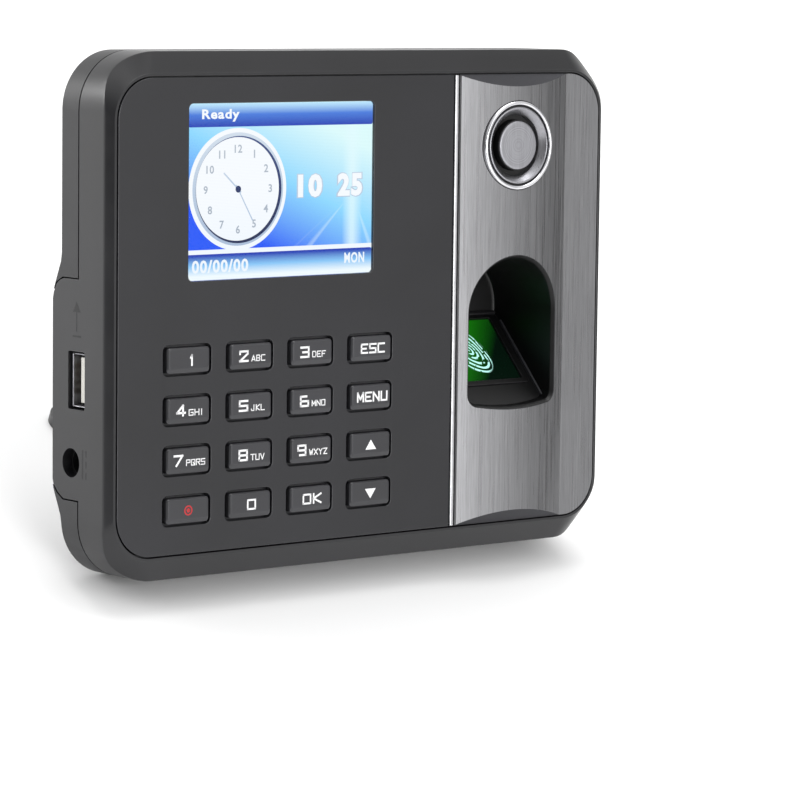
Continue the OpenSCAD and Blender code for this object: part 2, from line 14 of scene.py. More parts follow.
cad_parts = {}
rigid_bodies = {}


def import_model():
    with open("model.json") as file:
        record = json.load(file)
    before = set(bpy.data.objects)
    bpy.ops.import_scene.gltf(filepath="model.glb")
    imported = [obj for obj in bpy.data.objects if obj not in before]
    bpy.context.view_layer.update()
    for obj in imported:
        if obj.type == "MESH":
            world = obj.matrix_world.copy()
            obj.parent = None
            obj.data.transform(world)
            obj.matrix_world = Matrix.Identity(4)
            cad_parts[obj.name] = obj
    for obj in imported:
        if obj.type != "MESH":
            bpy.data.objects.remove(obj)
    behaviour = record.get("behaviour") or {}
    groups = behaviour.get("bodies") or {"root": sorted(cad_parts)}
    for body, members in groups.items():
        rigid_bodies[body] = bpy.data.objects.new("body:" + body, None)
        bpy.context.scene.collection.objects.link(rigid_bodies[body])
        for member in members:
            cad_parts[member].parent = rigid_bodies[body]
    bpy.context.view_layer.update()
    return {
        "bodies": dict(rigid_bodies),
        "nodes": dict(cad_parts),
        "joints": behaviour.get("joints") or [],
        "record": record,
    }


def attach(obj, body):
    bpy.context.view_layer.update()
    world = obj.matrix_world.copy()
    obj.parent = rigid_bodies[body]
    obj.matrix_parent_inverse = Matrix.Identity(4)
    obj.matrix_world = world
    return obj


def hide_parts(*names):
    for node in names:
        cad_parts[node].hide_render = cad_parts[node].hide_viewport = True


LOG = logging.getLogger("terminal")
MM = 0.001
Point = tuple[float, float]
Spot = tuple[float, float, float]


# ---------------------------------------------------------------- placing


@dataclass(frozen=True)
class Placing:
    """Where the upright terminal, drawn in millimetres, stands in the frame.

    The origin is the middle of the front panel's face, X to the right, Y to the back, Z up.
    """

    lean: float
    origin: Vector

    @classmethod
    def from_frame(cls, frame: dict) -> "Placing":
        """Reads the lean from a key's travel and the origin from the front panel.


        Returns:
            The placing of the terminal.
        """
        press = next(joint for joint in frame["joints"] if joint["name"] == "key_1_press")
        back = Vector(press["axis"]).normalized()
        up = Vector((1, 0, 0)).cross(back)
        corners = [vertex.co for vertex in frame["nodes"]["front_panel"].data.vertices]
        face = min(corner.dot(back) for corner in corners)
        heights = [corner.dot(up) for corner in corners]
        middle = (min(heights) + max(heights)) / 2
        return cls(math.atan2(-back.z, back.y), back * face + up * middle)

    @property
    def matrix(self) -> Matrix:
        """Upright millimetres to the frame's metres."""
        turn = Matrix.Rotation(-self.lean, 4, "X")
        return Matrix.Translation(self.origin) @ turn @ Matrix.Scale(MM, 4)

    def direction(self, vector: Sequence[float]) -> Vector:
        """An upright direction, turned into the frame."""
        return Matrix.Rotation(-self.lean, 3, "X") @ Vector(vector)


# ---------------------------------------------------------------- colour and nodes


def linear(code: str) -> tuple[float, float, float, float]:
    """Turns an sRGB hex colour into linear light.

    Args:
        code: six hex digits after a hash sign.

    Returns:
        Red, green, blue and an alpha of 1.
    """
    values = [int(code[i : i + 2], 16) / 255 for i in (1, 3, 5)]
    red, green, blue = (v / 12.92 if v <= 0.04045 else ((v + 0.055) / 1.055) ** 2.4 for v in values)
    return red, green, blue, 1.0


def add(tree: bpy.types.NodeTree, kind: str, sockets: dict | None = None, **settings) -> bpy.types.Node:
    """Adds a node with its settings and links.

    Args:
        tree: the material's or world's node tree.
        kind: the shader node's type name, after the ShaderNode that they all start with.
        sockets: input name or index to a value, or to the output socket that feeds it.
        **settings: the node's own properties.

    Returns:
        The new node.
    """
    node = tree.nodes.new(f"ShaderNode{kind}")
    for name, value in settings.items():
        setattr(node, name, value)
    for key, value in (sockets or {}).items():
        if isinstance(value, bpy.types.NodeSocket):
            tree.links.new(value, node.inputs[key])
        else:
            node.inputs[key].default_value = value
    return node


@dataclass(frozen=True)
class Finish:
    """A surface finish, whose patterns are laid out in upright millimetres however the terminal leans."""

    name: str

    def start(self, placing: Placing) -> tuple[bpy.types.Material, bpy.types.NodeTree, bpy.types.NodeSocket]:
        """Starts an empty node material of this name.

        Args:
            placing: where the terminal stands and leans.

        Returns:
            The material, its node tree, and coordinates in upright millimetres.
        """
        material = bpy.data.materials.new(self.name)
        material.use_nodes = True
        material.node_tree.nodes.clear()
        return material, material.node_tree, self.upright(material.node_tree, placing)

    def upright(self, tree: bpy.types.NodeTree, placing: Placing) -> bpy.types.NodeSocket:
        """Coordinates in upright millimetres.

        Args:
            tree: the material's node tree.
            placing: where the terminal stands.

        Returns:
            The vector socket.
        """
        spot = Matrix.Rotation(placing.lean, 3, "X") @ placing.origin
        place = add(tree, "TexCoord")
        mapping = add(
            tree,
            "Mapping",
            {
                "Vector": place.outputs["Object"],
                "Scale": (1 / MM, 1 / MM, 1 / MM),
                "Rotation": (placing.lean, 0, 0),
                "Location": tuple(-value / MM for value in spot),
            },
        )
        return mapping.outputs["Vector"]

    def noise(
        self, tree: bpy.types.NodeTree, vector: bpy.types.NodeSocket, size_mm: Spot, detail: float = 3.0
    ) -> bpy.types.NodeSocket:
        """Noise whose lumps have a given size along X, Y and Z.

        Args:
            tree: the material's node tree.
            vector: coordinates in millimetres.
            size_mm: size of a lump along each axis.
            detail: octaves of finer noise.

        Returns:
            The noise value's socket.
        """
        scaled = add(
            tree, "VectorMath", {0: vector, 1: tuple(1 / s for s in size_mm)}, operation="MULTIPLY"
        )
        return add(
            tree,
            "TexNoise",
            {"Vector": scaled.outputs[0], "Scale": 1.0, "Detail": detail, "Roughness": 0.55},
        ).outputs["Fac"]

    def spread(
        self, tree: bpy.types.NodeTree, value: bpy.types.NodeSocket, low: float, high: float,
        start: float = 0.3, end: float = 0.7,
    ) -> bpy.types.NodeSocket:
        """Stretches a value between start and end to low and high.

        Args:
            tree: the material's node tree.
            value: the value to stretch.
            low: result at start.
            high: result at end.
            start: value that gives low.
            end: value that gives high.

        Returns:
            The stretched value's socket.
        """
        return add(
            tree,
            "MapRange",
            {"Value": value, "From Min": start, "From Max": end, "To Min": low, "To Max": high},
        ).outputs["Result"]

    def blend(
        self, tree: bpy.types.NodeTree, factor: bpy.types.NodeSocket | float,
        first: bpy.types.NodeSocket | str, second: bpy.types.NodeSocket | str,
    ) -> bpy.types.NodeSocket:
        """Mixes two colours.

        Args:
            tree: the material's node tree.
            factor: 0 for the first colour, 1 for the second.
            first: a hex colour or a colour socket.
            second: a hex colour or a colour socket.

        Returns:
            The mixed colour's socket.
        """
        pair = [linear(c) if isinstance(c, str) else c for c in (first, second)]
        mix = add(tree, "Mix", {0: factor, 6: pair[0], 7: pair[1]}, data_type="RGBA")
        return mix.outputs[2]

    def worn_edges(self, tree: bpy.types.NodeTree, radius_mm: float) -> bpy.types.NodeSocket:
        """A mask that is 1 along outer edges and 0 elsewhere.

        Args:
            tree: the material's node tree.
            radius_mm: how far the wear reaches from an edge.

        Returns:
            The mask's socket.
        """
        soft = add(tree, "Bevel", {"Radius": radius_mm * MM}, samples=4)
        plain = add(tree, "NewGeometry")
        match = add(
            tree, "VectorMath", {0: soft.outputs[0], 1: plain.outputs["Normal"]}, operation="DOT_PRODUCT"
        )
        return self.spread(tree, match.outputs["Value"], 1.0, 0.0, 0.86, 0.99)

    def close(self, tree: bpy.types.NodeTree, shader: bpy.types.Node) -> None:
        """Links the shader to the material's output."""
        add(tree, "OutputMaterial", {"Surface": shader.outputs[0]})


# ---------------------------------------------------------------- finishes


@dataclass(frozen=True)
class MouldedPlastic(Finish):
    """Pigmented plastic from a textured or polished mould.

    Spark-eroded grain breaks the highlights up, the pigment drifts slowly and handled edges go paler.
    """

    colour: str
    drift: str
    edge: str
    rough: float = 0.4
    grain_mm: float = 0.5
    grain_height_mm: float = 0.012
    ior: float = 1.53
    gloss_coat: float = 0.0
    edge_mm: float = 0.35

    def make(self, placing: Placing) -> bpy.types.Material:
        """Builds the material.

        Args:
            placing: where the terminal stands and leans.

        Returns:
            The finished material.
        """
        material, tree, spot = self.start(placing)
        slow = self.spread(tree, self.noise(tree, spot, (38, 38, 38), 2), 0, 1)
        base = self.blend(tree, slow, self.colour, self.drift)
        wear = self.worn_edges(tree, self.edge_mm)
        scuff = self.spread(tree, self.noise(tree, spot, (3, 3, 3), 3), 0.15, 0.75)
        mask = add(tree, "Math", {0: wear, 1: scuff}, operation="MULTIPLY").outputs[0]
        colour = self.blend(tree, mask, base, self.edge)
        patches = self.noise(tree, spot, (14, 14, 9), 3)
        rough = self.spread(tree, patches, self.rough - 0.04, self.rough + 0.05)
        size = self.grain_mm
        grain = self.noise(tree, spot, (size, size, size), 2)
        bump = add(tree, "Bump", {"Strength": 0.7, "Distance": self.grain_height_mm * MM, "Height": grain})
        shader = add(
            tree,
            "BsdfPrincipled",
            {
                "Base Color": colour,
                "Roughness": rough,
                "IOR": self.ior,
                "Normal": bump.outputs[0],
                "Coat Weight": self.gloss_coat,
                "Coat Roughness": 0.06,
            },
        )
        self.close(tree, shader)
        return material


@dataclass(frozen=True)
class BrushedFilm(Finish):
    """Metal film or sheet with a straight brushed grain: long hairlines that streak the highlights."""

    colour: str
    pale: str
    rough: float = 0.38
    metallic: float = 0.9
    hair_mm: float = 0.16
    hair_length_mm: float = 7.0
    depth_mm: float = 0.006

    def make(self, placing: Placing) -> bpy.types.Material:
        """Builds the material. Hairs are 0.16 mm wide, coarser than the real 0.05 mm, so that they show.

        Args:
            placing: where the terminal stands and leans.

        Returns:
            The finished material.
        """
        material, tree, spot = self.start(placing)
        hair = self.noise(tree, spot, (self.hair_mm, self.hair_mm, self.hair_length_mm), 2)
        strand = self.noise(tree, spot, (self.hair_mm * 3, self.hair_mm * 3, self.hair_length_mm * 4), 2)
        both = add(tree, "Math", {0: hair, 1: strand}, operation="ADD").outputs[0]
        colour = self.blend(tree, self.spread(tree, both, 0, 1, 0.6, 1.4), self.colour, self.pale)
        rough = self.spread(tree, strand, self.rough - 0.06, self.rough + 0.08)
        bump = add(tree, "Bump", {"Strength": 0.5, "Distance": self.depth_mm * MM, "Height": hair})
        shader = add(
            tree,
            "BsdfPrincipled",
            {
                "Base Color": colour,
                "Metallic": self.metallic,
                "Roughness": rough,
                "Anisotropic": 0.35,
                "Normal": bump.outputs[0],
            },
        )
        self.close(tree, shader)
        return material


@dataclass(frozen=True)
class Plating(Finish):
    """Bright metal plating or plain metal: mirror-like, with faint buffing haze and fine scratches."""

    colour: str
    haze: str
    rough: float = 0.08
    scratch_mm: float = 0.3

    def make(self, placing: Placing) -> bpy.types.Material:
        """Builds the material.

        Args:
            placing: where the terminal stands and leans.

        Returns:
            The finished material.
        """
        material, tree, spot = self.start(placing)
        haze = self.spread(tree, self.noise(tree, spot, (4, 4, 4), 3), 0, 1)
        scratch = self.noise(tree, spot, (self.scratch_mm, self.scratch_mm, 6), 2)
        bump = add(tree, "Bump", {"Strength": 0.25, "Distance": 0.002 * MM, "Height": scratch})
        shader = add(
            tree,
            "BsdfPrincipled",
            {
                "Base Color": self.blend(tree, haze, self.colour, self.haze),
                "Metallic": 1.0,
                "Roughness": self.spread(tree, haze, self.rough, self.rough + 0.07, 0, 1),
                "Normal": bump.outputs[0],
            },
        )
        self.close(tree, shader)
        return material


@dataclass(frozen=True)
class TurnedSteel(Finish):
    """Steel face finished on a lathe: fine rings round the button's middle catch the light."""

    colour: str
    pale: str
    centre: Point
    ring_mm: float = 0.3

    def make(self, placing: Placing) -> bpy.types.Material:
        """Builds the material.

        Args:
            placing: where the terminal stands and leans.

        Returns:
            The finished material.
        """
        material, tree, spot = self.start(placing)
        away = add(
            tree,
            "VectorMath",
            {0: spot, 1: (self.centre[0], 0, self.centre[1])},
            operation="SUBTRACT",
        ).outputs[0]
        flat = add(tree, "VectorMath", {0: away, 1: (1, 0, 1)}, operation="MULTIPLY").outputs[0]
        radius = add(tree, "VectorMath", {0: flat}, operation="LENGTH").outputs["Value"]
        ring = add(tree, "Math", {0: radius, 1: 1 / self.ring_mm}, operation="MULTIPLY").outputs[0]
        lines = add(tree, "TexNoise", {"W": ring, "Scale": 1.0, "Detail": 2.0}, noise_dimensions="1D")
        upright_hair = self.noise(tree, spot, (0.15, 0.15, 8), 2)
        mixed = add(tree, "Math", {0: lines.outputs["Fac"], 1: upright_hair}, operation="ADD").outputs[0]
        bump = add(tree, "Bump", {"Strength": 0.35, "Distance": 0.003 * MM, "Height": mixed})
        shader = add(
            tree,
            "BsdfPrincipled",
            {
                "Base Color": self.blend(
                    tree, self.spread(tree, mixed, 0, 1, 0.8, 1.2), self.colour, self.pale
                ),
                "Metallic": 0.9,
                "Roughness": 0.36,
                "Normal": bump.outputs[0],
            },
        )
        self.close(tree, shader)
        return material


@dataclass(frozen=True)
class ClearLens(Finish):
    """Clear acrylic: see-through, with a faint scatter of dust and wiping marks in its gloss."""

    def make(self, placing: Placing) -> bpy.types.Material:
        """Builds the material.

        Args:
            placing: where the terminal stands and leans.

        Returns:
            The finished material.
        """
        material, tree, spot = self.start(placing)
        wipe = self.spread(tree, self.noise(tree, spot, (9, 9, 2.5), 3), 0.01, 0.06)
        gloss = add(tree, "BsdfGlossy", {"Color": linear("#f4f8ff"), "Roughness": wipe})
        clear = add(tree, "BsdfTransparent", {"Color": linear("#fbfdff")})
        side = add(tree, "NewGeometry").outputs["Backfacing"]
        facing = add(tree, "Fresnel", {"IOR": self.spread(tree, side, 1.25, 0.8, 0, 1)})
        shader = add(tree, "MixShader", {0: facing.outputs[0], 1: clear.outputs[0], 2: gloss.outputs[0]})
        self.close(tree, shader)
        return material


@dataclass(frozen=True)
class Glow(Finish):
    """A lit part of the display: plain emitted light with the fine rows of the panel's cells in it."""

    top: str
    middle: str
    bottom: str
    low_z: float
    high_z: float
    strength: float = 1.0
    row_mm: float = 0.36
    tilt: float = 0.0
    rays: bool = False

    def make(self, placing: Placing) -> bpy.types.Material:
        """Builds the material. Rows of cells are 0.36 mm apart, twice the real pitch, so that they show.

        Args:
            placing: where the terminal stands and leans.

        Returns:
            The finished material.
        """
        material, tree, spot = self.start(placing)
        apart = add(tree, "SeparateXYZ", {0: spot})
        lean = add(tree, "Math", {0: apart.outputs["X"], 1: self.tilt}, operation="MULTIPLY").outputs[0]
        level = add(tree, "Math", {0: apart.outputs["Z"], 1: lean}, operation="ADD").outputs[0]
        share = self.spread(tree, level, 0, 1, self.low_z, self.high_z)
        ramp = add(tree, "ValToRGB", {0: share})
        stops = ramp.color_ramp.elements
        stops[0].color = linear(self.bottom)
        stops[1].color = linear(self.top)
        middle = stops.new(0.5)
        middle.color = linear(self.middle)
        colour = ramp.outputs[0]
        if self.rays:
            colour = self.with_rays(tree, apart, colour)
        rows = add(
            tree, "Math", {0: apart.outputs["Z"], 1: 2 * math.pi / self.row_mm}, operation="MULTIPLY"
        ).outputs[0]
        wave = add(tree, "Math", {0: rows}, operation="SINE").outputs[0]
        light = self.spread(tree, wave, self.strength * 0.97, self.strength * 1.03, -1, 1)
        glow = add(tree, "Emission", {"Color": colour, "Strength": light})
        gloss = add(tree, "BsdfGlossy", {"Color": linear("#101010"), "Roughness": 0.2})
        shader = add(tree, "AddShader", {0: glow.outputs[0], 1: gloss.outputs[0]})
        self.close(tree, shader)
        return material

    def with_rays(
        self, tree: bpy.types.NodeTree, apart: bpy.types.Node, colour: bpy.types.NodeSocket
    ) -> bpy.types.NodeSocket:
        """Lays pale fanning rays over the sky.

        Args:
            tree: the material's node tree.
            apart: the node that gives X and Z in millimetres.
            colour: the sky's colour.

        Returns:
            The colour with its rays.
        """
        across = add(tree, "Math", {0: apart.outputs["X"], 1: 5.0}, operation="ADD").outputs[0]
        drop = add(tree, "Math", {0: 29.0, 1: apart.outputs["Z"]}, operation="SUBTRACT").outputs[0]
        reach = add(tree, "Math", {0: drop, 1: 1.2}, operation="MAXIMUM").outputs[0]
        fan = add(tree, "Math", {0: across, 1: reach}, operation="DIVIDE").outputs[0]
        lines = add(tree, "TexNoise", {"W": fan, "Scale": 3.4, "Detail": 1.0}, noise_dimensions="1D")
        streak = self.spread(tree, lines.outputs["Fac"], 0, 0.5, 0.56, 0.74)
        below = self.spread(tree, drop, 0, 1, 0.5, 5.0)
        width = add(tree, "Math", {0: fan}, operation="ABSOLUTE").outputs[0]
        narrow = self.spread(tree, width, 1, 0, 0.9, 2.0)
        ray = streak
        for limit in (below, narrow):
            ray = add(tree, "Math", {0: ray, 1: limit}, operation="MULTIPLY").outputs[0]
        beam = add(tree, "Math", {0: across}, operation="ABSOLUTE").outputs[0]
        column = self.spread(tree, beam, 0.75, 0, 0.4, 3.2)
        both = add(tree, "Math", {0: ray, 1: column}, operation="MAXIMUM").outputs[0]
        return self.blend(tree, both, colour, "#e9ffff")


@dataclass(frozen=True)
class LitSensor(Finish):
    """The reader's prism, lit green from inside, with the pale whorl of a guide mark on it."""

    deep: str
    bright: str
    mark: str
    centre: Spot
    slope: float

    def make(self, placing: Placing) -> bpy.types.Material:
        """Builds the material. The whorl's lines are 0.5 mm wide, 0.95 mm apart.

        Args:
            placing: where the terminal stands and leans.

        Returns:
            The finished material.
        """
        material, tree, spot = self.start(placing)
        away = add(tree, "VectorMath", {0: spot, 1: self.centre}, operation="SUBTRACT").outputs[0]
        axis_up = (0.0, math.cos(self.slope), math.sin(self.slope))
        rise = add(tree, "VectorMath", {0: away, 1: axis_up}, operation="DOT_PRODUCT").outputs["Value"]
        side = add(tree, "VectorMath", {0: away, 1: (1, 0, 0)}, operation="DOT_PRODUCT").outputs["Value"]
        across = add(tree, "Math", {0: side, 1: 2.0}, operation="ADD").outputs[0]
        raw = add(tree, "CombineXYZ", {0: across, 1: rise, 2: 0.0}).outputs[0]
        turned = add(tree, "VectorRotate", {"Vector": raw, "Angle": -0.42}, rotation_type="Z_AXIS").outputs[0]
        flat = add(tree, "VectorMath", {0: turned, 1: (1.0, 0.66, 1.0)}, operation="MULTIPLY").outputs[0]
        wobble = self.noise(tree, spot, (6, 6, 6), 0)
        radius = add(tree, "VectorMath", {0: flat}, operation="LENGTH").outputs["Value"]
        bent = add(
            tree, "Math", {0: self.spread(tree, wobble, -0.45, 0.45), 1: radius}, operation="ADD"
        ).outputs[0]
        rings = add(tree, "Math", {0: bent, 1: 2 * math.pi / 0.95}, operation="MULTIPLY").outputs[0]
        wave = add(tree, "Math", {0: rings}, operation="SINE").outputs[0]
        line = self.spread(tree, wave, 0, 1, -0.1, 0.3)
        inside = self.spread(tree, radius, 1, 0, 5.0, 5.4)
        gaps = self.spread(tree, self.noise(tree, spot, (1.5, 1.5, 1.1), 1), 0, 1, 0.36, 0.42)
        part = add(tree, "Math", {0: line, 1: inside}, operation="MULTIPLY").outputs[0]
        mask = add(tree, "Math", {0: part, 1: gaps}, operation="MULTIPLY").outputs[0]
        drift = add(tree, "Math", {0: side, 1: 1.3}, operation="MULTIPLY").outputs[0]
        away_left = add(tree, "Math", {0: rise, 1: drift}, operation="SUBTRACT").outputs[0]
        fade = self.spread(tree, away_left, 0, 1, -9.0, 17.0)
        colour = self.blend(tree, mask, self.blend(tree, fade, self.deep, self.bright), self.mark)
        shader = add(
            tree,
            "BsdfPrincipled",
            {
                "Base Color": colour,
                "Roughness": 0.12,
                "IOR": 1.52,
                "Emission Color": colour,
                "Emission Strength": 0.5,
            },
        )
        self.close(tree, shader)
        return material


@dataclass(frozen=True)
class Laminate(Finish):
    """Glass-fibre circuit board: green solder mask over the faint relief of its tracks."""

    colour: str = "#1f5a35"
    track: str = "#3c8a55"

    def make(self, placing: Placing) -> bpy.types.Material:
        """Builds the material.

        Tracks run between cells 2.5 mm across, coarser than real, so that they show.

        Args:
            placing: where the terminal stands and leans.

        Returns:
            The finished material.
        """
        material, tree, spot = self.start(placing)
        scaled = add(tree, "VectorMath", {0: spot, 1: (0.4, 0.4, 0.4)}, operation="MULTIPLY").outputs[0]
        cells = add(tree, "TexVoronoi", {"Vector": scaled, "Scale": 1.0}, distance="MANHATTAN")
        edge = self.spread(tree, cells.outputs["Distance"], 0, 1, 0.42, 0.5)
        weave = self.noise(tree, spot, (0.4, 0.4, 0.4), 1)
        bump = add(tree, "Bump", {"Strength": 0.4, "Distance": 0.03 * MM, "Height": edge})
        shader = add(
            tree,
            "BsdfPrincipled",
            {
                "Base Color": self.blend(tree, edge, self.colour, self.track),
                "Roughness": self.spread(tree, weave, 0.28, 0.42),
                "Normal": bump.outputs[0],
            },
        )
        self.close(tree, shader)
        return material


@dataclass(frozen=True)
class PrintedFilm(Finish):
    """Printed label stock: flat ink on film or paper with a soft tooth, and stripes for a code."""

    paper: str
    ink: str
    stripe_mm: float = 0.0
    low_z: float = 0.0
    high_z: float = 0.0
    half_x: float = 0.0
    mid_x: float = 0.0

    def make(self, placing: Placing) -> bpy.types.Material:
        """Builds the material. Each stripe of the code is dark or pale by a draw of its own.

        Args:
            placing: where the terminal stands and leans.

        Returns:
            The finished material.
        """
        material, tree, spot = self.start(placing)
        tooth = self.noise(tree, spot, (0.3, 0.3, 0.3), 2)
        colour = self.blend(tree, self.spread(tree, tooth, 0, 0.12), self.paper, self.ink)
        if self.stripe_mm:
            apart = add(tree, "SeparateXYZ", {0: spot})
            step = add(
                tree, "Math", {0: apart.outputs["Z"], 1: self.stripe_mm}, operation="SNAP"
            ).outputs[0]
            draw = add(tree, "TexWhiteNoise", {"W": step}, noise_dimensions="1D").outputs["Value"]
            dark = add(tree, "Math", {0: draw, 1: 0.5}, operation="GREATER_THAN").outputs[0]
            above = add(tree, "Math", {0: apart.outputs["Z"], 1: self.low_z}, operation="GREATER_THAN")
            below = add(tree, "Math", {0: apart.outputs["Z"], 1: self.high_z}, operation="LESS_THAN")
            offset = add(tree, "Math", {0: apart.outputs["X"], 1: self.mid_x}, operation="SUBTRACT")
            far = add(tree, "Math", {0: offset.outputs[0]}, operation="ABSOLUTE")
            near = add(tree, "Math", {0: far.outputs[0], 1: self.half_x}, operation="LESS_THAN")
            mask = dark
            for other in (above, below, near):
                mask = add(tree, "Math", {0: mask, 1: other.outputs[0]}, operation="MULTIPLY").outputs[0]
            colour = self.blend(tree, mask, colour, self.ink)
        bump = add(tree, "Bump", {"Strength": 0.3, "Distance": 0.01 * MM, "Height": tooth})
        shader = add(
            tree,
            "BsdfPrincipled",
            {"Base Color": colour, "Roughness": 0.5, "Normal": bump.outputs[0]},
        )
        self.close(tree, shader)
        return material


@dataclass(frozen=True)
class ScreenInk(Finish):
    """Screen-printed ink: opaque and flat, slightly uneven in thickness, so its edges look soft."""

    colour: str
    thin: str

    def make(self, placing: Placing) -> bpy.types.Material:
        """Builds the material.

        Args:
            placing: where the terminal stands and leans.

        Returns:
            The finished material.
        """
        material, tree, spot = self.start(placing)
        uneven = self.spread(tree, self.noise(tree, spot, (0.4, 0.4, 0.4), 3), 0, 1)
        shader = add(
            tree,
            "BsdfPrincipled",
            {
                "Base Color": self.blend(tree, uneven, self.colour, self.thin),
                "Roughness": self.spread(tree, uneven, 0.4, 0.55, 0, 1),
            },
        )
        self.close(tree, shader)
        return material


class Finishes:
    """Every finish of the terminal, each made once."""

    def __init__(self, placing: Placing) -> None:
        """Makes the materials.

        Args:
            placing: where the terminal stands.
        """
        slope = math.radians(47)
        glass = (47.5, 1 + 18.9 * math.cos(slope), -28.5 + 18.9 * math.sin(slope))
        listed = {
            # ABS from a lightly spark-eroded mould: a soft sheen over a fine tooth
            "case": MouldedPlastic("case_abs_satin", "#161618", "#1b1b1e", "#3c3c40", 0.34, 0.45, 0.010),
            "rear": MouldedPlastic("rear_abs_grained", "#161618", "#1b1b1e", "#3c3c41", 0.46, 0.6, 0.02),
            # Polished panel: clear reflections over a dark grey
            "panel": MouldedPlastic("panel_abs_polished", "#19191c", "#1f1f23", "#47474c", 0.2, 1.4, 0.002),
            "key": MouldedPlastic(
                "keycap_abs_satin", "#2c2c2f", "#333337", "#626268", 0.32, 0.3, 0.006, edge_mm=0.3
            ),
            "well": MouldedPlastic(
                "well_pc_satin", "#040405", "#070708", "#3a3a3e", 0.44, 0.6, 0.004, ior=1.45
            ),
            "slab": MouldedPlastic("dark_moulding", "#141416", "#1b1b1e", "#3c3c40", 0.45, 0.5, 0.01),
            "rubber": MouldedPlastic("silicone_rubber", "#b9b9b2", "#c6c6c0", "#dcdcd8", 0.6, 0.5, 0.01),
            "white": MouldedPlastic("white_pbt", "#c6c4bd", "#d2d0c9", "#e6e4de", 0.45, 0.4, 0.005),
            "coat": MouldedPlastic("powder_coat_black", "#111113", "#161618", "#3a3a3e", 0.34, 0.7, 0.03),
            "strip": Plating("strip_bright_plate", "#e6e6e8", "#cfcfd3", 0.14),
            "chrome": Plating("ring_chrome_plate", "#f2f2f4", "#d9d9dd", 0.05),
            "tin": Plating("tinned_steel", "#a4a4a9", "#8a8a8f", 0.3),
            "gold": Plating("gold_flash", "#d8b25a", "#b98e3a", 0.2),
            "zinc": Plating("black_zinc", "#3c3c40", "#28282b", 0.32),
            "cone": BrushedFilm("ring_cone_satin", "#96969a", "#adadb2", 0.32, 0.9, 0.12, 3.0),
            # Sloping ends of the swell: the same film painted much darker, as painted shade for the dark
            # reflection on the end facets
            "fascia": BrushedFilm("fascia_brushed_film", "#7b7b7d", "#939395", 0.3, 0.88),
            "fascia_end": BrushedFilm("fascia_film_painted_shade", "#38383b", "#454549", 0.42, 0.8),
            "button": TurnedSteel("button_turned_steel", "#97979b", "#b0b0b5", (47.5, 39.9)),
            "lens": ClearLens("display_lens_acrylic"),
            "sensor": LitSensor("sensor_prism_lit", "#04120a", "#1d8a10", "#b8f4ea", glass, slope),
            "board": Laminate("board_laminate"),
            "film": PrintedFilm("label_dark_film", "#2c2c2f", "#4a4a4e"),
            "code": PrintedFilm("label_code_paper", "#e8e8e6", "#232325", 0.32, -42.0, -15.0, 3.4, 46.0),
            "seal": PrintedFilm("label_silver_film", "#d4d4d8", "#9a9aa0"),
            "flex": PrintedFilm("flex_polyimide", "#b5762a", "#7d4c16"),
            "white_ink": ScreenInk("white_pad_ink", "#fafafa", "#ececee"),
            "grey_ink": ScreenInk("grey_pad_ink", "#707075", "#606064"),
            "red_ink": ScreenInk("red_pad_ink", "#c3262b", "#a51d22"),
            "sky": Glow("display_sky", "#e4fffc", "#92dcff", "#1c58f8", 3.0, 40.0, 1.0, tilt=0.42, rays=True),
            "bar_top": Glow("display_top_bar", "#c4ecff", "#4a7edc", "#2848b8", 46.4, 51.6, 1.0),
            "bar_low": Glow("display_low_bar", "#1c3cb4", "#8ccaf8", "#f8ffff", 9.6, 14.6, 1.0),
            "lit": Glow("display_white", "#ffffff", "#ffffff", "#f6fbff", 8.0, 52.0, 1.0),
            "lit_grey": Glow("display_grey", "#c4cad2", "#b8c0ca", "#acb6c2", 8.0, 52.0, 0.95),
            "lit_shade": Glow("display_shade", "#e4edf6", "#c9d8ea", "#b4c6e0", 15.0, 46.0, 0.92),
            "lit_navy": Glow("display_navy", "#5a6fb0", "#33457f", "#1e2c60", 15.0, 46.0, 0.6),
        }
        self.made = {key: finish.make(placing) for key, finish in listed.items()}

    def __getitem__(self, key: str) -> bpy.types.Material:
        """The material of that key."""
        return self.made[key]


# ---------------------------------------------------------------- outlines and meshes, in upright millimetres


def rounded(
    width: float, height: float, radius: float, centre: Point = (0, 0), steps: int = 10
) -> list[Point]:
    """A rectangle with round corners, anticlockwise seen from the front.

    Args:
        width: size along X.
        height: size along Z.
        radius: corner radius.
        centre: its middle.
        steps: segments in each corner.

    Returns:
        The outline's points.
    """
    points = []
    for sx, sz, start in ((1, -1, -90), (1, 1, 0), (-1, 1, 90), (-1, -1, 180)):
        cx, cz = centre[0] + sx * (width / 2 - radius), centre[1] + sz * (height / 2 - radius)
        for i in range(steps + 1):
            angle = math.radians(start + 90 * i / steps)
            points.append((cx + radius * math.cos(angle), cz + radius * math.sin(angle)))
    return points


def disc(radius: float, centre: Point, steps: int = 64) -> list[Point]:
    """A circle's points, anticlockwise."""
    turn = 2 * math.pi / steps
    return [(
        centre[0] + radius * math.cos(i * turn), centre[1] + radius * math.sin(i * turn)
    ) for i in range(steps)]


def inset(outline: Sequence[Point], depth: float) -> list[Point]:
    """Moves an anticlockwise outline inwards, or outwards where depth is negative.

    Args:
        outline: the outline's points.
        depth: how far it moves.

    Returns:
        As many points, moved along their mitred normals.
    """
    moved = []
    count = len(outline)
    for i, (x, z) in enumerate(outline):
        before, after = Vector(outline[i - 1]), Vector(outline[(i + 1) % count])
        here = Vector((x, z))
        normals = []
        for edge in (here - before, after - here):
            if edge.length > 1e-9:
                normals.append(Vector((-edge.y, edge.x)).normalized())
        normal = sum(normals, Vector((0, 0)))
        normal.normalize()
        share = max(0.4, normal.dot(normals[0]))
        moved.append((x + normal.x * depth / share, z + normal.y * depth / share))
    return moved


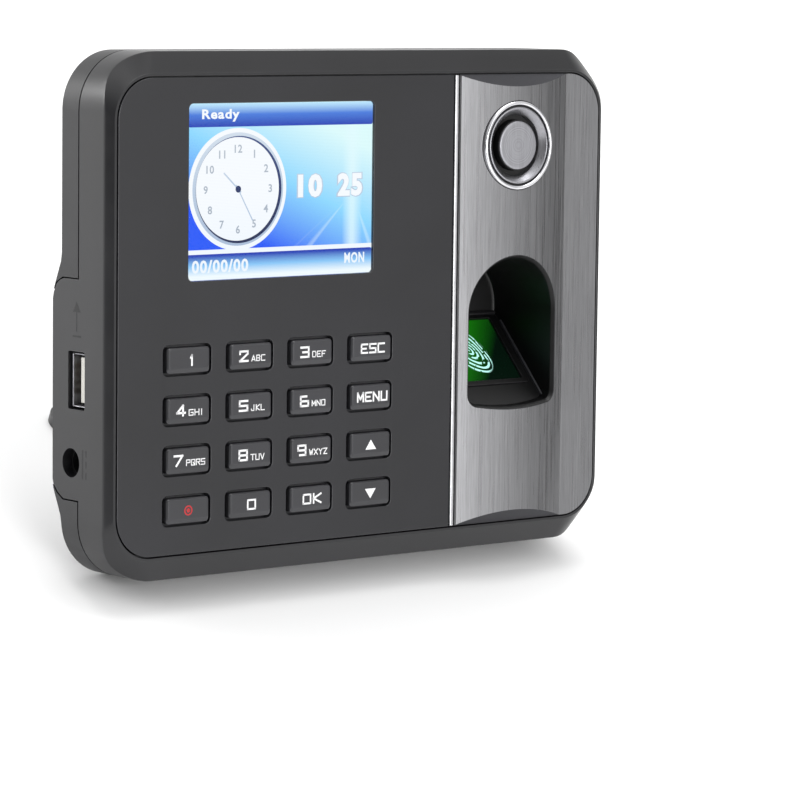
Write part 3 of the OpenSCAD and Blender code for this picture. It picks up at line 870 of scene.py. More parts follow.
def solid(name: str, points: Sequence[Sequence[float]], faces: Sequence[Sequence[int]]) -> bpy.types.Object:
    """A mesh object from points and faces, with its normals turned outwards.

    Args:
        name: the piece's name.
        points: vertices in upright millimetres.
        faces: vertex numbers of each face.

    Returns:
        The object.
    """
    mesh = bpy.data.meshes.new(name)
    mesh.from_pydata([tuple(p) for p in points], [], [tuple(f) for f in faces])
    tidy = bmesh.new()
    tidy.from_mesh(mesh)
    bmesh.ops.remove_doubles(tidy, verts=tidy.verts, dist=1e-5)
    bmesh.ops.recalc_face_normals(tidy, faces=tidy.faces)
    tidy.to_mesh(mesh)
    tidy.free()
    made = bpy.data.objects.new(name, mesh)
    bpy.context.scene.collection.objects.link(made)
    return made


def loft(name: str, rings: Sequence[Sequence[Sequence[float]]], ends: bool = True) -> bpy.types.Object:
    """Joins closed rings of equal length into a skin.

    Args:
        name: the piece's name.
        rings: rings of points in upright millimetres.
        ends: True to close the first and last ring with a face; False joins the last ring to the first.

    Returns:
        The object.
    """
    count = len(rings[0])
    points = [point for ring in rings for point in ring]
    faces = []
    spans = len(rings) - 1 if ends else len(rings)
    for r in range(spans):
        a, b = r * count, ((r + 1) % len(rings)) * count
        for i in range(count):
            j = (i + 1) % count
            faces.append((a + i, a + j, b + j, b + i))
    if ends:
        faces.append(tuple(range(count)))
        faces.append(tuple(range((len(rings) - 1) * count, len(rings) * count)))
    return solid(name, points, faces)


def revolve(name: str, profile: Sequence[Point], centre: Point, steps: int = 128) -> bpy.types.Object:
    """Turns a closed profile about an axis along Y.

    Args:
        name: the piece's name.
        profile: pairs of radius and depth Y, going round the section; radius 0 closes on the axis.
        centre: X and Z of the axis.
        steps: segments round the axis.

    Returns:
        The object.
    """
    rings = []
    for i in range(steps):
        angle = 2 * math.pi * i / steps
        c, s = math.cos(angle), math.sin(angle)
        rings.append([(centre[0] + r * c, y, centre[1] + r * s) for r, y in profile])
    return loft(name, rings, ends=False)


class Facing(Enum):
    """Which way a slab's outline is drawn."""

    FRONT = "outline in X and Z, depth along Y"
    SIDE = "outline in Y and Z, depth along X"


def slab(
    name: str, outer: Sequence[Point], holes: Iterable[Sequence[Point]], near: float, far: float,
    edge: float = 0.2, facing: Facing = Facing.FRONT, back_edge: float = 0.05,
) -> bpy.types.Object:
    """A flat plate with round front edges and any holes.

    Args:
        name: the piece's name.
        outer: its outline, anticlockwise.
        holes: outlines of its holes, anticlockwise.
        near: the front face's depth.
        far: the back face's depth.
        edge: radius of the front edges.
        facing: how the outline is drawn.
        back_edge: size of the back edges' chamfer.

    Returns:
        The object.
    """
    build = bmesh.new()
    caps: dict[int, list] = {0: [], 1: []}
    for sign, outline in [(1, outer)] + [(-1, hole) for hole in holes]:
        levels = []
        for step in range(4):
            angle = math.pi / 2 * step / 3
            levels.append((edge * (1 - math.sin(angle)), near + edge * (1 - math.cos(angle))))
        levels += [(0.0, far - back_edge), (back_edge, far)]
        rings = []
        for depth, y in levels:
            ring = inset(outline, sign * depth) if depth else outline
            rings.append(
                [build.verts.new((x, y, z) if facing is Facing.FRONT else (y, x, z)) for x, z in ring]
            )
        count = len(outline)
        for upper, lower in zip(rings, rings[1:]):
            for i in range(count):
                j = (i + 1) % count
                build.faces.new((upper[i], upper[j], lower[j], lower[i]))
        for cap, ring in ((0, rings[0]), (1, rings[-1])):
            for i in range(count):
                caps[cap].append(build.edges.get((ring[i], ring[(i + 1) % count])))
    normal = (0, 1, 0) if facing is Facing.FRONT else (1, 0, 0)
    for edges in caps.values():
        bmesh.ops.triangle_fill(build, edges=edges, use_beauty=True, use_dissolve=False, normal=normal)
    bmesh.ops.recalc_face_normals(build, faces=build.faces)
    mesh = bpy.data.meshes.new(name)
    build.to_mesh(mesh)
    build.free()
    made = bpy.data.objects.new(name, mesh)
    bpy.context.scene.collection.objects.link(made)
    return made


def combine(target: bpy.types.Object, tools: Sequence[bpy.types.Object], action: str = "DIFFERENCE") -> None:
    """Cuts tools out of a piece, or joins them to it, and removes them.

    Args:
        target: the piece.
        tools: the solids that cut or join.
        action: Blender's name for the boolean.
    """
    for tool in tools:
        step = target.modifiers.new("cut", "BOOLEAN")
        step.operation, step.object, step.solver = action, tool, "EXACT"
    graph = bpy.context.evaluated_depsgraph_get()
    result = bpy.data.meshes.new_from_object(target.evaluated_get(graph))
    target.modifiers.clear()
    target.data = result
    for tool in tools:
        bpy.data.objects.remove(tool)


def lettering(name: str, words: str, height: float, middle: Point, near: float, far: float,
              width: float | None = None, bold: float = 0.0) -> bpy.types.Object:
    """Letters as a thin raised layer on a face that looks along -Y.

    Args:
        name: the piece's name.
        words: what it says.
        height: height of its tallest letter.
        middle: X and Z of its middle.
        near: depth of its front.
        far: depth of its back.
        width: its whole width, or None to keep the letters' own shape.
        bold: how far its outlines are grown, as a share of the letter size.

    Returns:
        The object.
    """
    curve = bpy.data.curves.new(name, "FONT")
    curve.body, curve.size, curve.extrude, curve.resolution_u = words, 1.0, 0.5, 3
    curve.space_character, curve.offset = 1.06 + bold * 2, bold
    text = bpy.data.objects.new(name, curve)
    bpy.context.scene.collection.objects.link(text)
    graph = bpy.context.evaluated_depsgraph_get()
    mesh = bpy.data.meshes.new_from_object(text.evaluated_get(graph))
    bpy.data.objects.remove(text)
    xs, ys = [v.co.x for v in mesh.vertices], [v.co.y for v in mesh.vertices]
    tall = height / (max(ys) - min(ys))
    wide = tall if width is None else width / (max(xs) - min(xs))
    mid_x, mid_y = (max(xs) + min(xs)) / 2, (max(ys) + min(ys)) / 2
    for vertex in mesh.vertices:
        x, y, z = vertex.co
        vertex.co = (
            middle[0] + (x - mid_x) * wide,
            (near + far) / 2 - z * (far - near),
            middle[1] + (y - mid_y) * tall,
        )
    clean = bmesh.new()
    clean.from_mesh(mesh)
    bmesh.ops.remove_doubles(clean, verts=clean.verts, dist=1e-4)
    bmesh.ops.recalc_face_normals(clean, faces=clean.faces)
    clean.to_mesh(mesh)
    clean.free()
    made = bpy.data.objects.new(name, mesh)
    bpy.context.scene.collection.objects.link(made)
    return made


STROKES = {
    "0": "00 40 44 04 00", "1": "13 24 20", "2": "03 04 44 43 00 40", "3": "04 44 40 00/12 42",
    "4": "30 34 01 41", "5": "44 04 02 42 40 00", "6": "34 04 00 40 42 02", "7": "04 44 10",
    "8": "00 40 44 04 00/02 42", "9": "10 40 44 04 02 42", "A": "00 24 40/11 31",
    "B": "00 04 34 43 32 02/32 41 30 00", "C": "44 04 00 40", "D": "00 04 34 43 41 30 00",
    "E": "44 04 00 40/02 32", "F": "44 04 00/02 32", "G": "44 04 00 40 42 22", "H": "00 04/40 44/02 42",
    "I": "20 24", "J": "34 30 00 01", "K": "00 04/44 02 40", "L": "04 00 40", "M": "00 04 21 44 40",
    "N": "00 04 40 44", "O": "00 40 44 04 00", "P": "00 04 44 42 02", "Q": "00 40 44 04 00/22 40",
    "R": "00 04 44 42 02/22 40", "S": "44 04 02 42 40 00", "T": "04 44/24 20", "U": "04 00 40 44",
    "V": "04 20 44", "W": "04 10 23 30 44", "X": "00 44/04 40", "Y": "04 22 44/22 20", "Z": "04 44 00 40",
}


def square_letters(
    name: str, words: str, size: Point, middle: Point, stroke: float, near: float, far: float
) -> bpy.types.Object:
    """Wide square letters, each drawn with straight strokes of one width.

    Args:
        name: the piece's name.
        words: what it says.
        size: width and height of the whole word.
        middle: X and Z of its middle.
        stroke: width of a stroke.
        near: depth of its front.
        far: depth of its back.

    Returns:
        The object.
    """
    gap = 0.42
    advance = [0.45 if letter == "I" else 1.0 for letter in words]
    unit = (size[0] - stroke) / (sum(advance) + gap * (len(words) - 1))
    tall = size[1] - stroke
    left, low = middle[0] - (size[0] - stroke) / 2, middle[1] - tall / 2
    points: list[Spot] = []
    faces: list[tuple[int, ...]] = []
    for letter, share in zip(words, advance):
        shift = -0.5 * (1 - share) if letter == "I" else 0.0
        for line in STROKES[letter].split("/"):
            spots = [
                Vector(
                    (left + (int(c[0]) / 4 + shift) * unit, low + int(c[1]) / 4 * tall)
                ) for c in line.split()
            ]
            for start, end in zip(spots, spots[1:]):
                along = (end - start).normalized() * (stroke / 2)
                side = Vector((-along.y, along.x))
                a, b = start - along, end + along
                base = len(points)
                for y in (near, far):
                    points += [(c.x, y, c.y) for c in (a - side, b - side, b + side, a + side)]
                faces += [tuple(base + k for k in f) for f in (
                    (0, 1, 2, 3), (7, 6, 5, 4), (0, 4, 5, 1), (1, 5, 6, 2), (2, 6, 7, 3), (3, 7, 4, 0)
                )]
        left += (share + gap) * unit
    mesh = bpy.data.meshes.new(name)
    mesh.from_pydata(points, [], faces)
    made = bpy.data.objects.new(name, mesh)
    bpy.context.scene.collection.objects.link(made)
    return made


@dataclass
class Bench:
    """Finishes pieces: puts them in place, dresses them and ties them to their bodies."""

    placing: Placing
    finishes: Finishes
    nodes: dict
    body: str = "terminal"
    count: int = 0

    def fit(
        self, piece: bpy.types.Object, finish: str, body: str | None = None, replaces: Sequence[str] = (),
        smooth_deg: float = 32.0,
    ) -> bpy.types.Object:
        """Moves a piece from upright millimetres into the frame and dresses it.

        Args:
            piece: the piece.
            finish: key of its finish.
            body: the body that it rides on, or None for the terminal.
            replaces: frame nodes that it stands for.
            smooth_deg: edges sharper than this stay sharp.

        Returns:
            The piece.
        """
        piece.data.transform(self.placing.matrix)
        piece.data.materials.clear()
        piece.data.materials.append(self.finishes[finish])
        piece.data.polygons.foreach_set("use_smooth", [True] * len(piece.data.polygons))
        piece.data.set_sharp_from_angle(angle=math.radians(smooth_deg))
        weights = piece.modifiers.new("even_normals", "WEIGHTED_NORMAL")
        weights.keep_sharp = True
        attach(piece, body or self.body)
        if replaces:
            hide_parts(*replaces)
        self.count += 1
        LOG.info("fitted %s on %s", piece.name, body or self.body)
        return piece

    def dress_node(self, node: str, finish: str, edge_mm: float = 0.0) -> None:
        """Gives a frame node its finish, and softens its edges.

        Args:
            node: the node's name.
            finish: key of its finish.
            edge_mm: width of the softened edges, or 0 for none.
        """
        piece = self.nodes[node]
        piece.data.materials.clear()
        piece.data.materials.append(self.finishes[finish])
        weld = piece.modifiers.new("weld", "WELD")
        weld.merge_threshold = 0.002 * MM
        if edge_mm:
            bevel = piece.modifiers.new("edges", "BEVEL")
            bevel.width, bevel.segments = edge_mm * MM, 2
            bevel.limit_method, bevel.angle_limit = "ANGLE", math.radians(35)
            bevel.use_clamp_overlap = True
            bevel.harden_normals = False
        weights = piece.modifiers.new("even_normals", "WEIGHTED_NORMAL")
        weights.keep_sharp = True
        self.count += 1
        LOG.info("dressed %s", node)


# The key nodes, row by row from the top.
KEY_ROWS = (
    ("key_1", "key_2", "key_3", "key_esc"),
    ("key_4", "key_5", "key_6", "key_menu"),
    ("key_7", "key_8", "key_9", "key_up"),
    ("key_power", "key_0", "key_ok", "key_down"),
)
KEY_NODES = tuple(name for row in KEY_ROWS for name in row)


# ---------------------------------------------------------------- sub-assemblies


@dataclass
class FrontCase:
    """Front housing: lip round the recess, bevel, side wall, deck and the wall with the sockets."""

    width: float = 160.0
    height: float = 129.0
    radius: float = 14.5
    recess: tuple[float, float, float] = (155.0, 117.0, 10.5)
    lip: float = 0.8
    bevel_y: float = 2.0
    corner_dip: float = 2.6
    parting_y: float = 12.5
    wall: float = 2.2
    steps: int = 14

    def ring(self, w: float, h: float, r: float, depth: float, dip: float = 0.0) -> list[Spot]:
        """One ring of the case, whose depth dips by dip in the middle of each corner.

        Args:
            w: the ring's width.
            h: its height.
            r: its corner radius.
            depth: its Y.
            dip: extra depth in the middle of each corner.

        Returns:
            The ring's points.
        """
        points = []
        for i, (x, z) in enumerate(rounded(w, h, r, steps=self.steps)):
            share = (i % (self.steps + 1)) / self.steps
            points.append((x, depth + dip * math.sin(math.pi * share) ** 2, z))
        return points

    def shell(self) -> bpy.types.Object:
        """The case before its openings are cut.

        Returns:
            The uncut case.
        """
        rw, rh, rr = self.recess
        w, h, r = self.width, self.height, self.radius
        lip, dip = self.lip, self.corner_dip
        rings = [
            self.ring(rw, rh, rr, 2.0), self.ring(rw, rh, rr, 0.3), self.ring(rw + 0.16, rh + 0.16, rr, 0.06)
        ]
        rings.append(self.ring(rw + 0.4, rh + 0.4, rr + 0.2, 0.0))
        start = (rw + 2 * lip, rh + 2 * lip, rr + lip)
        rings.append(self.ring(start[0] - 0.12, start[1] - 0.12, start[2] - 0.06, 0.0))
        rings.append(self.ring(start[0] + 0.06, start[1] + 0.06, start[2], 0.07, dip * 0.03))
        for share in (0.3, 0.6, 0.84):
            size = [a + (b - a) * share for a, b in zip(start, (w, h, r))]
            rings.append(self.ring(*size, self.bevel_y * share, dip * share))
        rings.append(self.ring(w - 0.16, h - 0.16, r - 0.08, self.bevel_y + 0.02, dip * 0.97))
        rings.append(self.ring(w, h, r, self.bevel_y + 0.42, dip))
        rings.append(self.ring(w, h, r, 7.5))
        rings.append(self.ring(w, h, r, self.parting_y - 0.2))
        rings.append(self.ring(w - 0.4, h - 0.4, r - 0.2, self.parting_y))
        t = self.wall
        rings.append(self.ring(w - 2 * t, h - 2 * t, r - t, self.parting_y))
        rings.append(self.ring(w - 2 * t, h - 2 * t, r - t, 4.0))
        return loft("front_case", rings)

    def port_wall(self) -> bpy.types.Object:
        """The part of the left wall that runs back beside the sockets.

        Returns:
            The wall, for joining to the case.
        """
        profile = [
            (11.5, -44.9), (18.8, -44.9), (21.4, -43.4), (23.2, -41.6), (23.6, -40.4), (23.6, 4.0),
            (23.2, 5.6), (22.0, 7.7), (20.6, 8.7), (19.0, 9.3), (11.5, 9.3),
        ]
        return slab("port_wall", profile, [], -80.0, -77.4, 0.3, Facing.SIDE)

    def cutters(self) -> list[bpy.types.Object]:
        """Solids that cut the deck's openings and the two sockets' holes.

        Returns:
            One closed solid for each opening.
        """
        tools = [
            slab("cut_display", rounded(70, 50.8, 1, (-27.4, 30.2), 4), [], -1, 6, 0.01),
            slab("cut_keys", rounded(75.1, 48.9, 1, (-27.85, -28.95), 4), [], -1, 6, 0.01),
            slab("cut_well", well_outline(2.0), [], -1, 6, 0.01),
            slab("cut_ring", disc(10.0, (47.5, 39.9)), [], -1, 6, 0.01),
        ]
        usb = rounded(7.0, 14.2, 0.5, (13.25, -15.4), 4)
        tools.append(slab("cut_usb", usb, [], -82.0, -70.0, 0.01, Facing.SIDE))
        tools.append(slab("cut_dc", disc(3.6, (15.5, -35.7), 48), [], -82.0, -70.0, 0.01, Facing.SIDE))
        return tools

    def marks(self, bench: Bench) -> None:
        """Moulded marks by the sockets: an arrow into a bar, and a direct-current sign, raised slightly and
        painted near-black as painted shade for the shade inside engraved lines.

        Args:
            bench: fits each piece to its body and finish.
        """
        x0, x1 = -80.03, -79.9
        arrow = [
            (13.05, -3.5), (13.45, -3.5), (13.45, 1.2), (14.9, 1.2), (13.25, 3.8), (11.6, 1.2), (13.05, 1.2)
        ]
        pieces = [
            ("mark_arrow", arrow),
            ("mark_arrow_base", rounded(3.6, 0.5, 0.2, (13.25, -4.6), 3)),
            ("mark_current_line", rounded(0.5, 7.2, 0.2, (10.6, -35.7), 3)),
        ]
        pieces += [(
            f"mark_current_dash_{k + 2}", rounded(0.5, 1.8, 0.2, (9.2, -35.7 + k * 2.7), 3)
        ) for k in (-1, 0, 1)]
        # Each mark takes the near-black well finish: painted shade for the shade inside engraved lines.
        for name, outline in pieces:
            bench.fit(slab(name, outline, [], x0, x1, 0.01, Facing.SIDE), "well")

    def build(self, bench: Bench) -> None:
        """Builds, cuts and dresses the case.

        Args:
            bench: fits each piece to its body and finish.
        """
        case = self.shell()
        combine(case, [self.port_wall()], "UNION")
        combine(case, self.cutters())
        bench.fit(case, "case", replaces=("front_housing",), smooth_deg=22)
        self.marks(bench)


def well_outline(grow: float, steps: int = 40) -> list[Point]:
    """The finger well's mouth, anticlockwise from its lower right corner.

    Args:
        grow: how far it is grown outwards.
        steps: segments in the round top.

    Returns:
        The outline's points.
    """
    cx, arch_z, half, corner, low, bow = 47.5, -3.5, 15.0, 3.5, -27.8, 72.0
    points = []
    for i in range(9):
        angle = math.radians(-90 + 90 * i / 8)
        reach = corner + grow
        points.append((cx + half - corner + reach * math.cos(angle), low + corner + reach * math.sin(angle)))
    for i in range(5):
        points.append((cx + half + grow, low + corner + (arch_z - low - corner) * (i + 1) / 6))
    for i in range(steps + 1):
        angle = math.pi * i / steps
        points.append((cx + (half + grow) * math.cos(angle), arch_z + (half + grow) * math.sin(angle)))
    for i in range(5):
        points.append((cx - half - grow, arch_z + (low + corner - arch_z) * (i + 1) / 6))
    for i in range(9):
        angle = math.radians(180 + 90 * i / 8)
        reach = corner + grow
        points.append((cx - half + corner + reach * math.cos(angle), low + corner + reach * math.sin(angle)))
    span = half - corner
    for i in range(1, 12):
        x = -span + 2 * span * i / 12
        sag = math.sqrt((bow + grow) ** 2 - x * x) - math.sqrt((bow + grow) ** 2 - span * span)
        points.append((cx + x, low - grow - sag))
    return points


@dataclass
class FrontPanel:
    """Polished front panel with windows for the display and the sixteen keys, and the bright strip."""

    left: float = -77.2
    right: float = 27.55
    top: float = 58.2
    radius: float = 10.2

    def outline(self) -> list[Point]:
        """The panel's outline: round at the left, square at the right.

        Returns:
            The outline's points.
        """
        r = self.radius
        points = [(self.right, -self.top), (self.right, self.top)]
        for start, sz in ((90, 1), (180, -1)):
            for i in range(17):
                angle = math.radians(start + 90 * i / 16)
                points.append(
                    (self.left + r + r * math.cos(angle), sz * (self.top - r) + r * math.sin(angle))
                )
        return points

    def build(self, bench: Bench, keypad: "Keypad") -> None:
        """Builds the panel and the strip.

        Args:
            bench: fits each piece to its body and finish.
            keypad: says where the key windows go.
        """
        holes = [rounded(14.5, 7.6, 1.5, spot, 5) for _, spot in keypad.places()]
        holes.append(rounded(57.6, 43.2, 1.3, (-27.4, 30.2), 6))
        panel = slab("front_panel_polished", self.outline(), holes, 0.0, 2.0, 0.22)
        bench.fit(panel, "panel", replaces=("front_panel",))
        strip = slab("trim_strip_bright", rounded(1.2, 116.2, 0.3, (28.3, 0), 4), [], -0.35, 2.0, 0.28)
        bench.fit(strip, "strip", replaces=("trim_strip",))


class Legend(Enum):
    """Marks on the keys: a main word, and small letters beside it."""

    KEY_1 = ("1", "")
    KEY_2 = ("2", "ABC")
    KEY_3 = ("3", "DEF")
    KEY_ESC = ("ESC", "")
    KEY_4 = ("4", "GHI")
    KEY_5 = ("5", "JKL")
    KEY_6 = ("6", "MNO")
    KEY_MENU = ("MENU", "")
    KEY_7 = ("7", "PQRS")
    KEY_8 = ("8", "TUV")
    KEY_9 = ("9", "WXYZ")
    KEY_UP = ("up", "")
    KEY_POWER = ("power", "")
    KEY_0 = ("0", "")
    KEY_OK = ("OK", "")
    KEY_DOWN = ("down", "")


@dataclass
class Keypad:
    """Sixteen key caps with their printed legends, over the mat and board."""

    pitch_x: float = 19.05
    pitch_z: float = 12.3
    first: Point = (-56.4, -10.5)
    cap: tuple[float, float, float] = (12.8, 6.2, 0.8)
    face_y: float = -0.78

    def places(self) -> list[tuple[str, Point]]:
        """Each key's node and the X and Z of its middle.

        Returns:
            Each key's node and place, row by row.
        """
        found = []
        for i, name in enumerate(KEY_NODES):
            found.append(
                (name, (self.first[0] + (i % 4) * self.pitch_x, self.first[1] - (i // 4) * self.pitch_z))
            )
        return found

    def cap_mesh(self, name: str, spot: Point) -> bpy.types.Object:
        """One cap: flange, straight skirt, broad chamfer and a slightly crowned top.

        Args:
            name: the piece's name.
            spot: X and Z of the cap's middle.

        Returns:
            The cap.
        """
        w, h, r = self.cap
        levels = [
            (0.0, 0.0, 2.3), (0.0, 0.0, -0.2), (0.03, 0.05, -0.3), (0.3, 0.95, -0.68), (0.4, 1.08, -0.74),
            (0.6, 1.3, -0.77), (1.0, 1.7, self.face_y),
        ]
        rings = [[(x, depth, z) for x, z in rounded(16.0, 9.0, 1.0, spot, 6)] for depth in (3.1, 2.35)]
        for grow, low, depth in levels:
            outline = rounded(
                w - 2 * grow, h - grow - low, max(0.25, r - grow * 0.6), (
                    spot[0], spot[1] + (low - grow) / 2
                ), 6
            )
            rings.append([(x, depth, z) for x, z in outline])
        return loft(name, rings)

    def legend(self, node: str, spot: Point) -> list[tuple[bpy.types.Object, str]]:
        """The printed marks of one key, each with the key of its ink.

        Args:
            node: the key's node.
            spot: X and Z of the key's middle.

        Returns:
            Each mark with the key of its ink.
        """
        main, small = Legend[node.upper()].value
        x, z = spot
        near, far = self.face_y - 0.03, self.face_y + 0.02
        if main in ("up", "down"):
            flip = 1 if main == "up" else -1
            corners = [(x - 1.75, z - 1.15 * flip), (x + 1.75, z - 1.15 * flip), (x, z + 1.35 * flip)]
            corners = corners if flip > 0 else corners[::-1]
            return [(slab(f"legend_{node}", corners, [], near, far, 0.01, back_edge=0.005), "white_ink")]
        if main == "power":
            ring = slab(f"legend_{node}_ring", disc(1.25, spot, 32), [disc(0.88, spot, 32)], near, far, 0.01,
                        back_edge=0.005)
            dot = slab(f"legend_{node}_dot", disc(0.52, spot, 24), [], near, far, 0.01, back_edge=0.005)
            return [(ring, "red_ink"), (dot, "red_ink")]
        if small:
            width = {3: 4.3, 4: 5.8}[len(small)]
            turn = -1.0 if len(small) == 4 else -0.3
            digit = square_letters(
                f"legend_{node}", main, (2.9, 2.9), (x - 2.1 + turn, z + 0.1), 0.52, near, far
            )
            words = square_letters(
                f"legend_{node}_letters", small, (width, 1.6), (
                    x + 0.2 + turn + width / 2, z - 0.52
                ), 0.24, near, far
            )
            return [(digit, "white_ink"), (words, "white_ink")]
        size = {
            "1": (1.9, 2.9), "0": (2.8, 2.7), "OK": (6.0, 2.7), "ESC": (7.8, 2.6), "MENU": (9.9, 2.6)
        }[main]
        shift = 0.8 if main == "1" else 0.3
        return [(square_letters(f"legend_{node}", main, size, (x + shift, z), 0.46, near, far), "white_ink")]

    def build(self, bench: Bench) -> None:
        """Builds every key with its legend.

        Args:
            bench: fits each piece to its body and finish.
        """
        for node, spot in self.places():
            bench.fit(self.cap_mesh(f"{node}_cap", spot), "key", node, (node,), smooth_deg=15)
            for mark, ink in self.legend(node, spot):
                bench.fit(mark, ink, node)


@dataclass
class Display:
    """Lit colour display behind its lens: bars, sky, clock face and figures."""

    centre: Point = (-27.4, 30.2)
    clock: Point = (-41.0, 30.7)
    stack: float = 0.33

    def layer(
        self, name: str, low: Point, high: Point, near: float, radius: float = 0.02, thick: float = 0.03
    ) -> bpy.types.Object:
        """A flat lit layer between two corners.

        Args:
            name: the piece's name.
            low: its lower left corner.
            high: its upper right corner.
            near: its front's depth behind the lens.
            radius: its corners' radius.
            thick: its thickness.

        Returns:
            The object.
        """
        w, h = high[0] - low[0], high[1] - low[1]
        outline = rounded(w, h, radius, ((low[0] + high[0]) / 2, (low[1] + high[1]) / 2), 4)
        front = self.stack + near
        return slab(name, outline, [], front, front + thick, 0.01, back_edge=0.005)

    def round(self, name: str, radius: float, near: float, spot: Point | None = None) -> bpy.types.Object:
        """A thin lit disc at a depth behind the lens, on the clock's middle unless a spot is given."""
        front = self.stack + near
        return slab(
            name, disc(radius, spot or self.clock, 96), [], front, front + 0.03, 0.01, back_edge=0.005
        )

    def build(self, bench: Bench) -> None:
        """Builds the lens and every lit layer.

        Args:
            bench: fits each piece to its body and finish.
        """
        lens = slab("display_lens", rounded(57.4, 43.0, 1.2, self.centre, 6), [], 0.03, 0.3, 0.1)
        bench.fit(lens, "lens", replaces=("display_window",))
        left, right = self.centre[0] - 28.72, self.centre[0] + 28.72
        low, high = self.centre[1] - 21.52, self.centre[1] + 21.52
        bench.fit(self.layer("display_sky", (left, low), (right, high), 0.36, 1.2, 1.3), "sky")
        bench.fit(self.layer("display_top_bar", (left, 46.0), (right, high), 0.32, 0.6), "bar_top")
        bench.fit(self.layer("display_low_bar", (left, low), (right, 15.0), 0.32, 0.6), "bar_low")
        bench.fit(self.layer("display_rule", (left, 15.0), (right, 16.1), 0.28, 0.1), "lit")
        self.clock_face(bench)
        self.words(bench)

    def clock_face(self, bench: Bench) -> None:
        """Builds the clock: rim, dark inner line, dial, numbers, hands and hub.

        Args:
            bench: fits each piece to its body and finish.
        """
        x, z = self.clock
        bench.fit(self.round("display_clock_rim", 15.0, 0.24), "lit")
        bench.fit(self.round("display_clock_inner_rim", 13.9, 0.2, (x + 0.1, z)), "lit_shade")
        bench.fit(self.round("display_clock_shade", 13.15, 0.16, (x + 0.3, z - 0.12)), "lit_navy")
        bench.fit(self.round("display_clock_dial", 12.7, 0.12, (x - 0.1, z + 0.05)), "lit")
        level = self.stack + 0.08
        for hour in range(1, 13):
            angle = math.radians(90 - 30 * hour)
            spot = (x + 9.9 * math.cos(angle), z + 9.9 * math.sin(angle))
            number = lettering(f"display_hour_{hour}", str(hour), 2.0, spot, level, level + 0.02, bold=0.02)
            bench.fit(number, "lit_grey")
        bench.fit(self.round("display_clock_hub", 0.85, 0.02), "lit_navy")
        for name, angle, length, width in (("hour", 312.5, 6.0, 0.2), ("minute", 150, 9.0, 0.16)):
            turn = math.radians(90 - angle)
            along, across = Vector((math.cos(turn), math.sin(turn))), Vector(
                (-math.sin(turn), math.cos(turn))
            )
            foot, tip = Vector(self.clock) - along * 1.2, Vector(self.clock) + along * length
            corners = [
                foot - across * width, tip - across * width, tip + across * width, foot + across * width
            ]
            outline = [tuple(corner) for corner in corners]
            bench.fit(
                slab(f"display_{name}_hand", outline, [], level - 0.02, level, 0.005, back_edge=0.004),
                "lit_shade"
            )

    def words(self, bench: Bench) -> None:
        """Builds the greeting, the time, the date and the day.

        Args:
            bench: fits each piece to its body and finish.
        """
        level = self.stack + 0.1
        for name, text, height, spot, width, bold in (
            ("greeting", "Ready", 3.1, (-46.4, 48.8), 11.4, 0.03),
            ("hours", "10", 5.8, (-18.6, 31.0), 7.6, 0.05),
            ("minutes", "25", 5.8, (-5.9, 31.0), 7.8, 0.05),
            ("date", "00/00/00", 3.2, (-46.3, 12.0), 17.2, 0.03),
            ("day", "MON", 2.7, (-4.3, 12.6), 6.4, 0.03),
        ):
            piece = lettering(f"display_{name}", text, height, spot, level, level + 0.03, width, bold)
            bench.fit(piece, "lit")
            if name in ("hours", "minutes"):
                shadow = lettering(
                    f"display_{name}_edge", text, height * 1.08, spot, level + 0.04, level + 0.06,
                    width * 1.1, bold + 0.035,
                )
                bench.fit(shadow, "lit_shade")


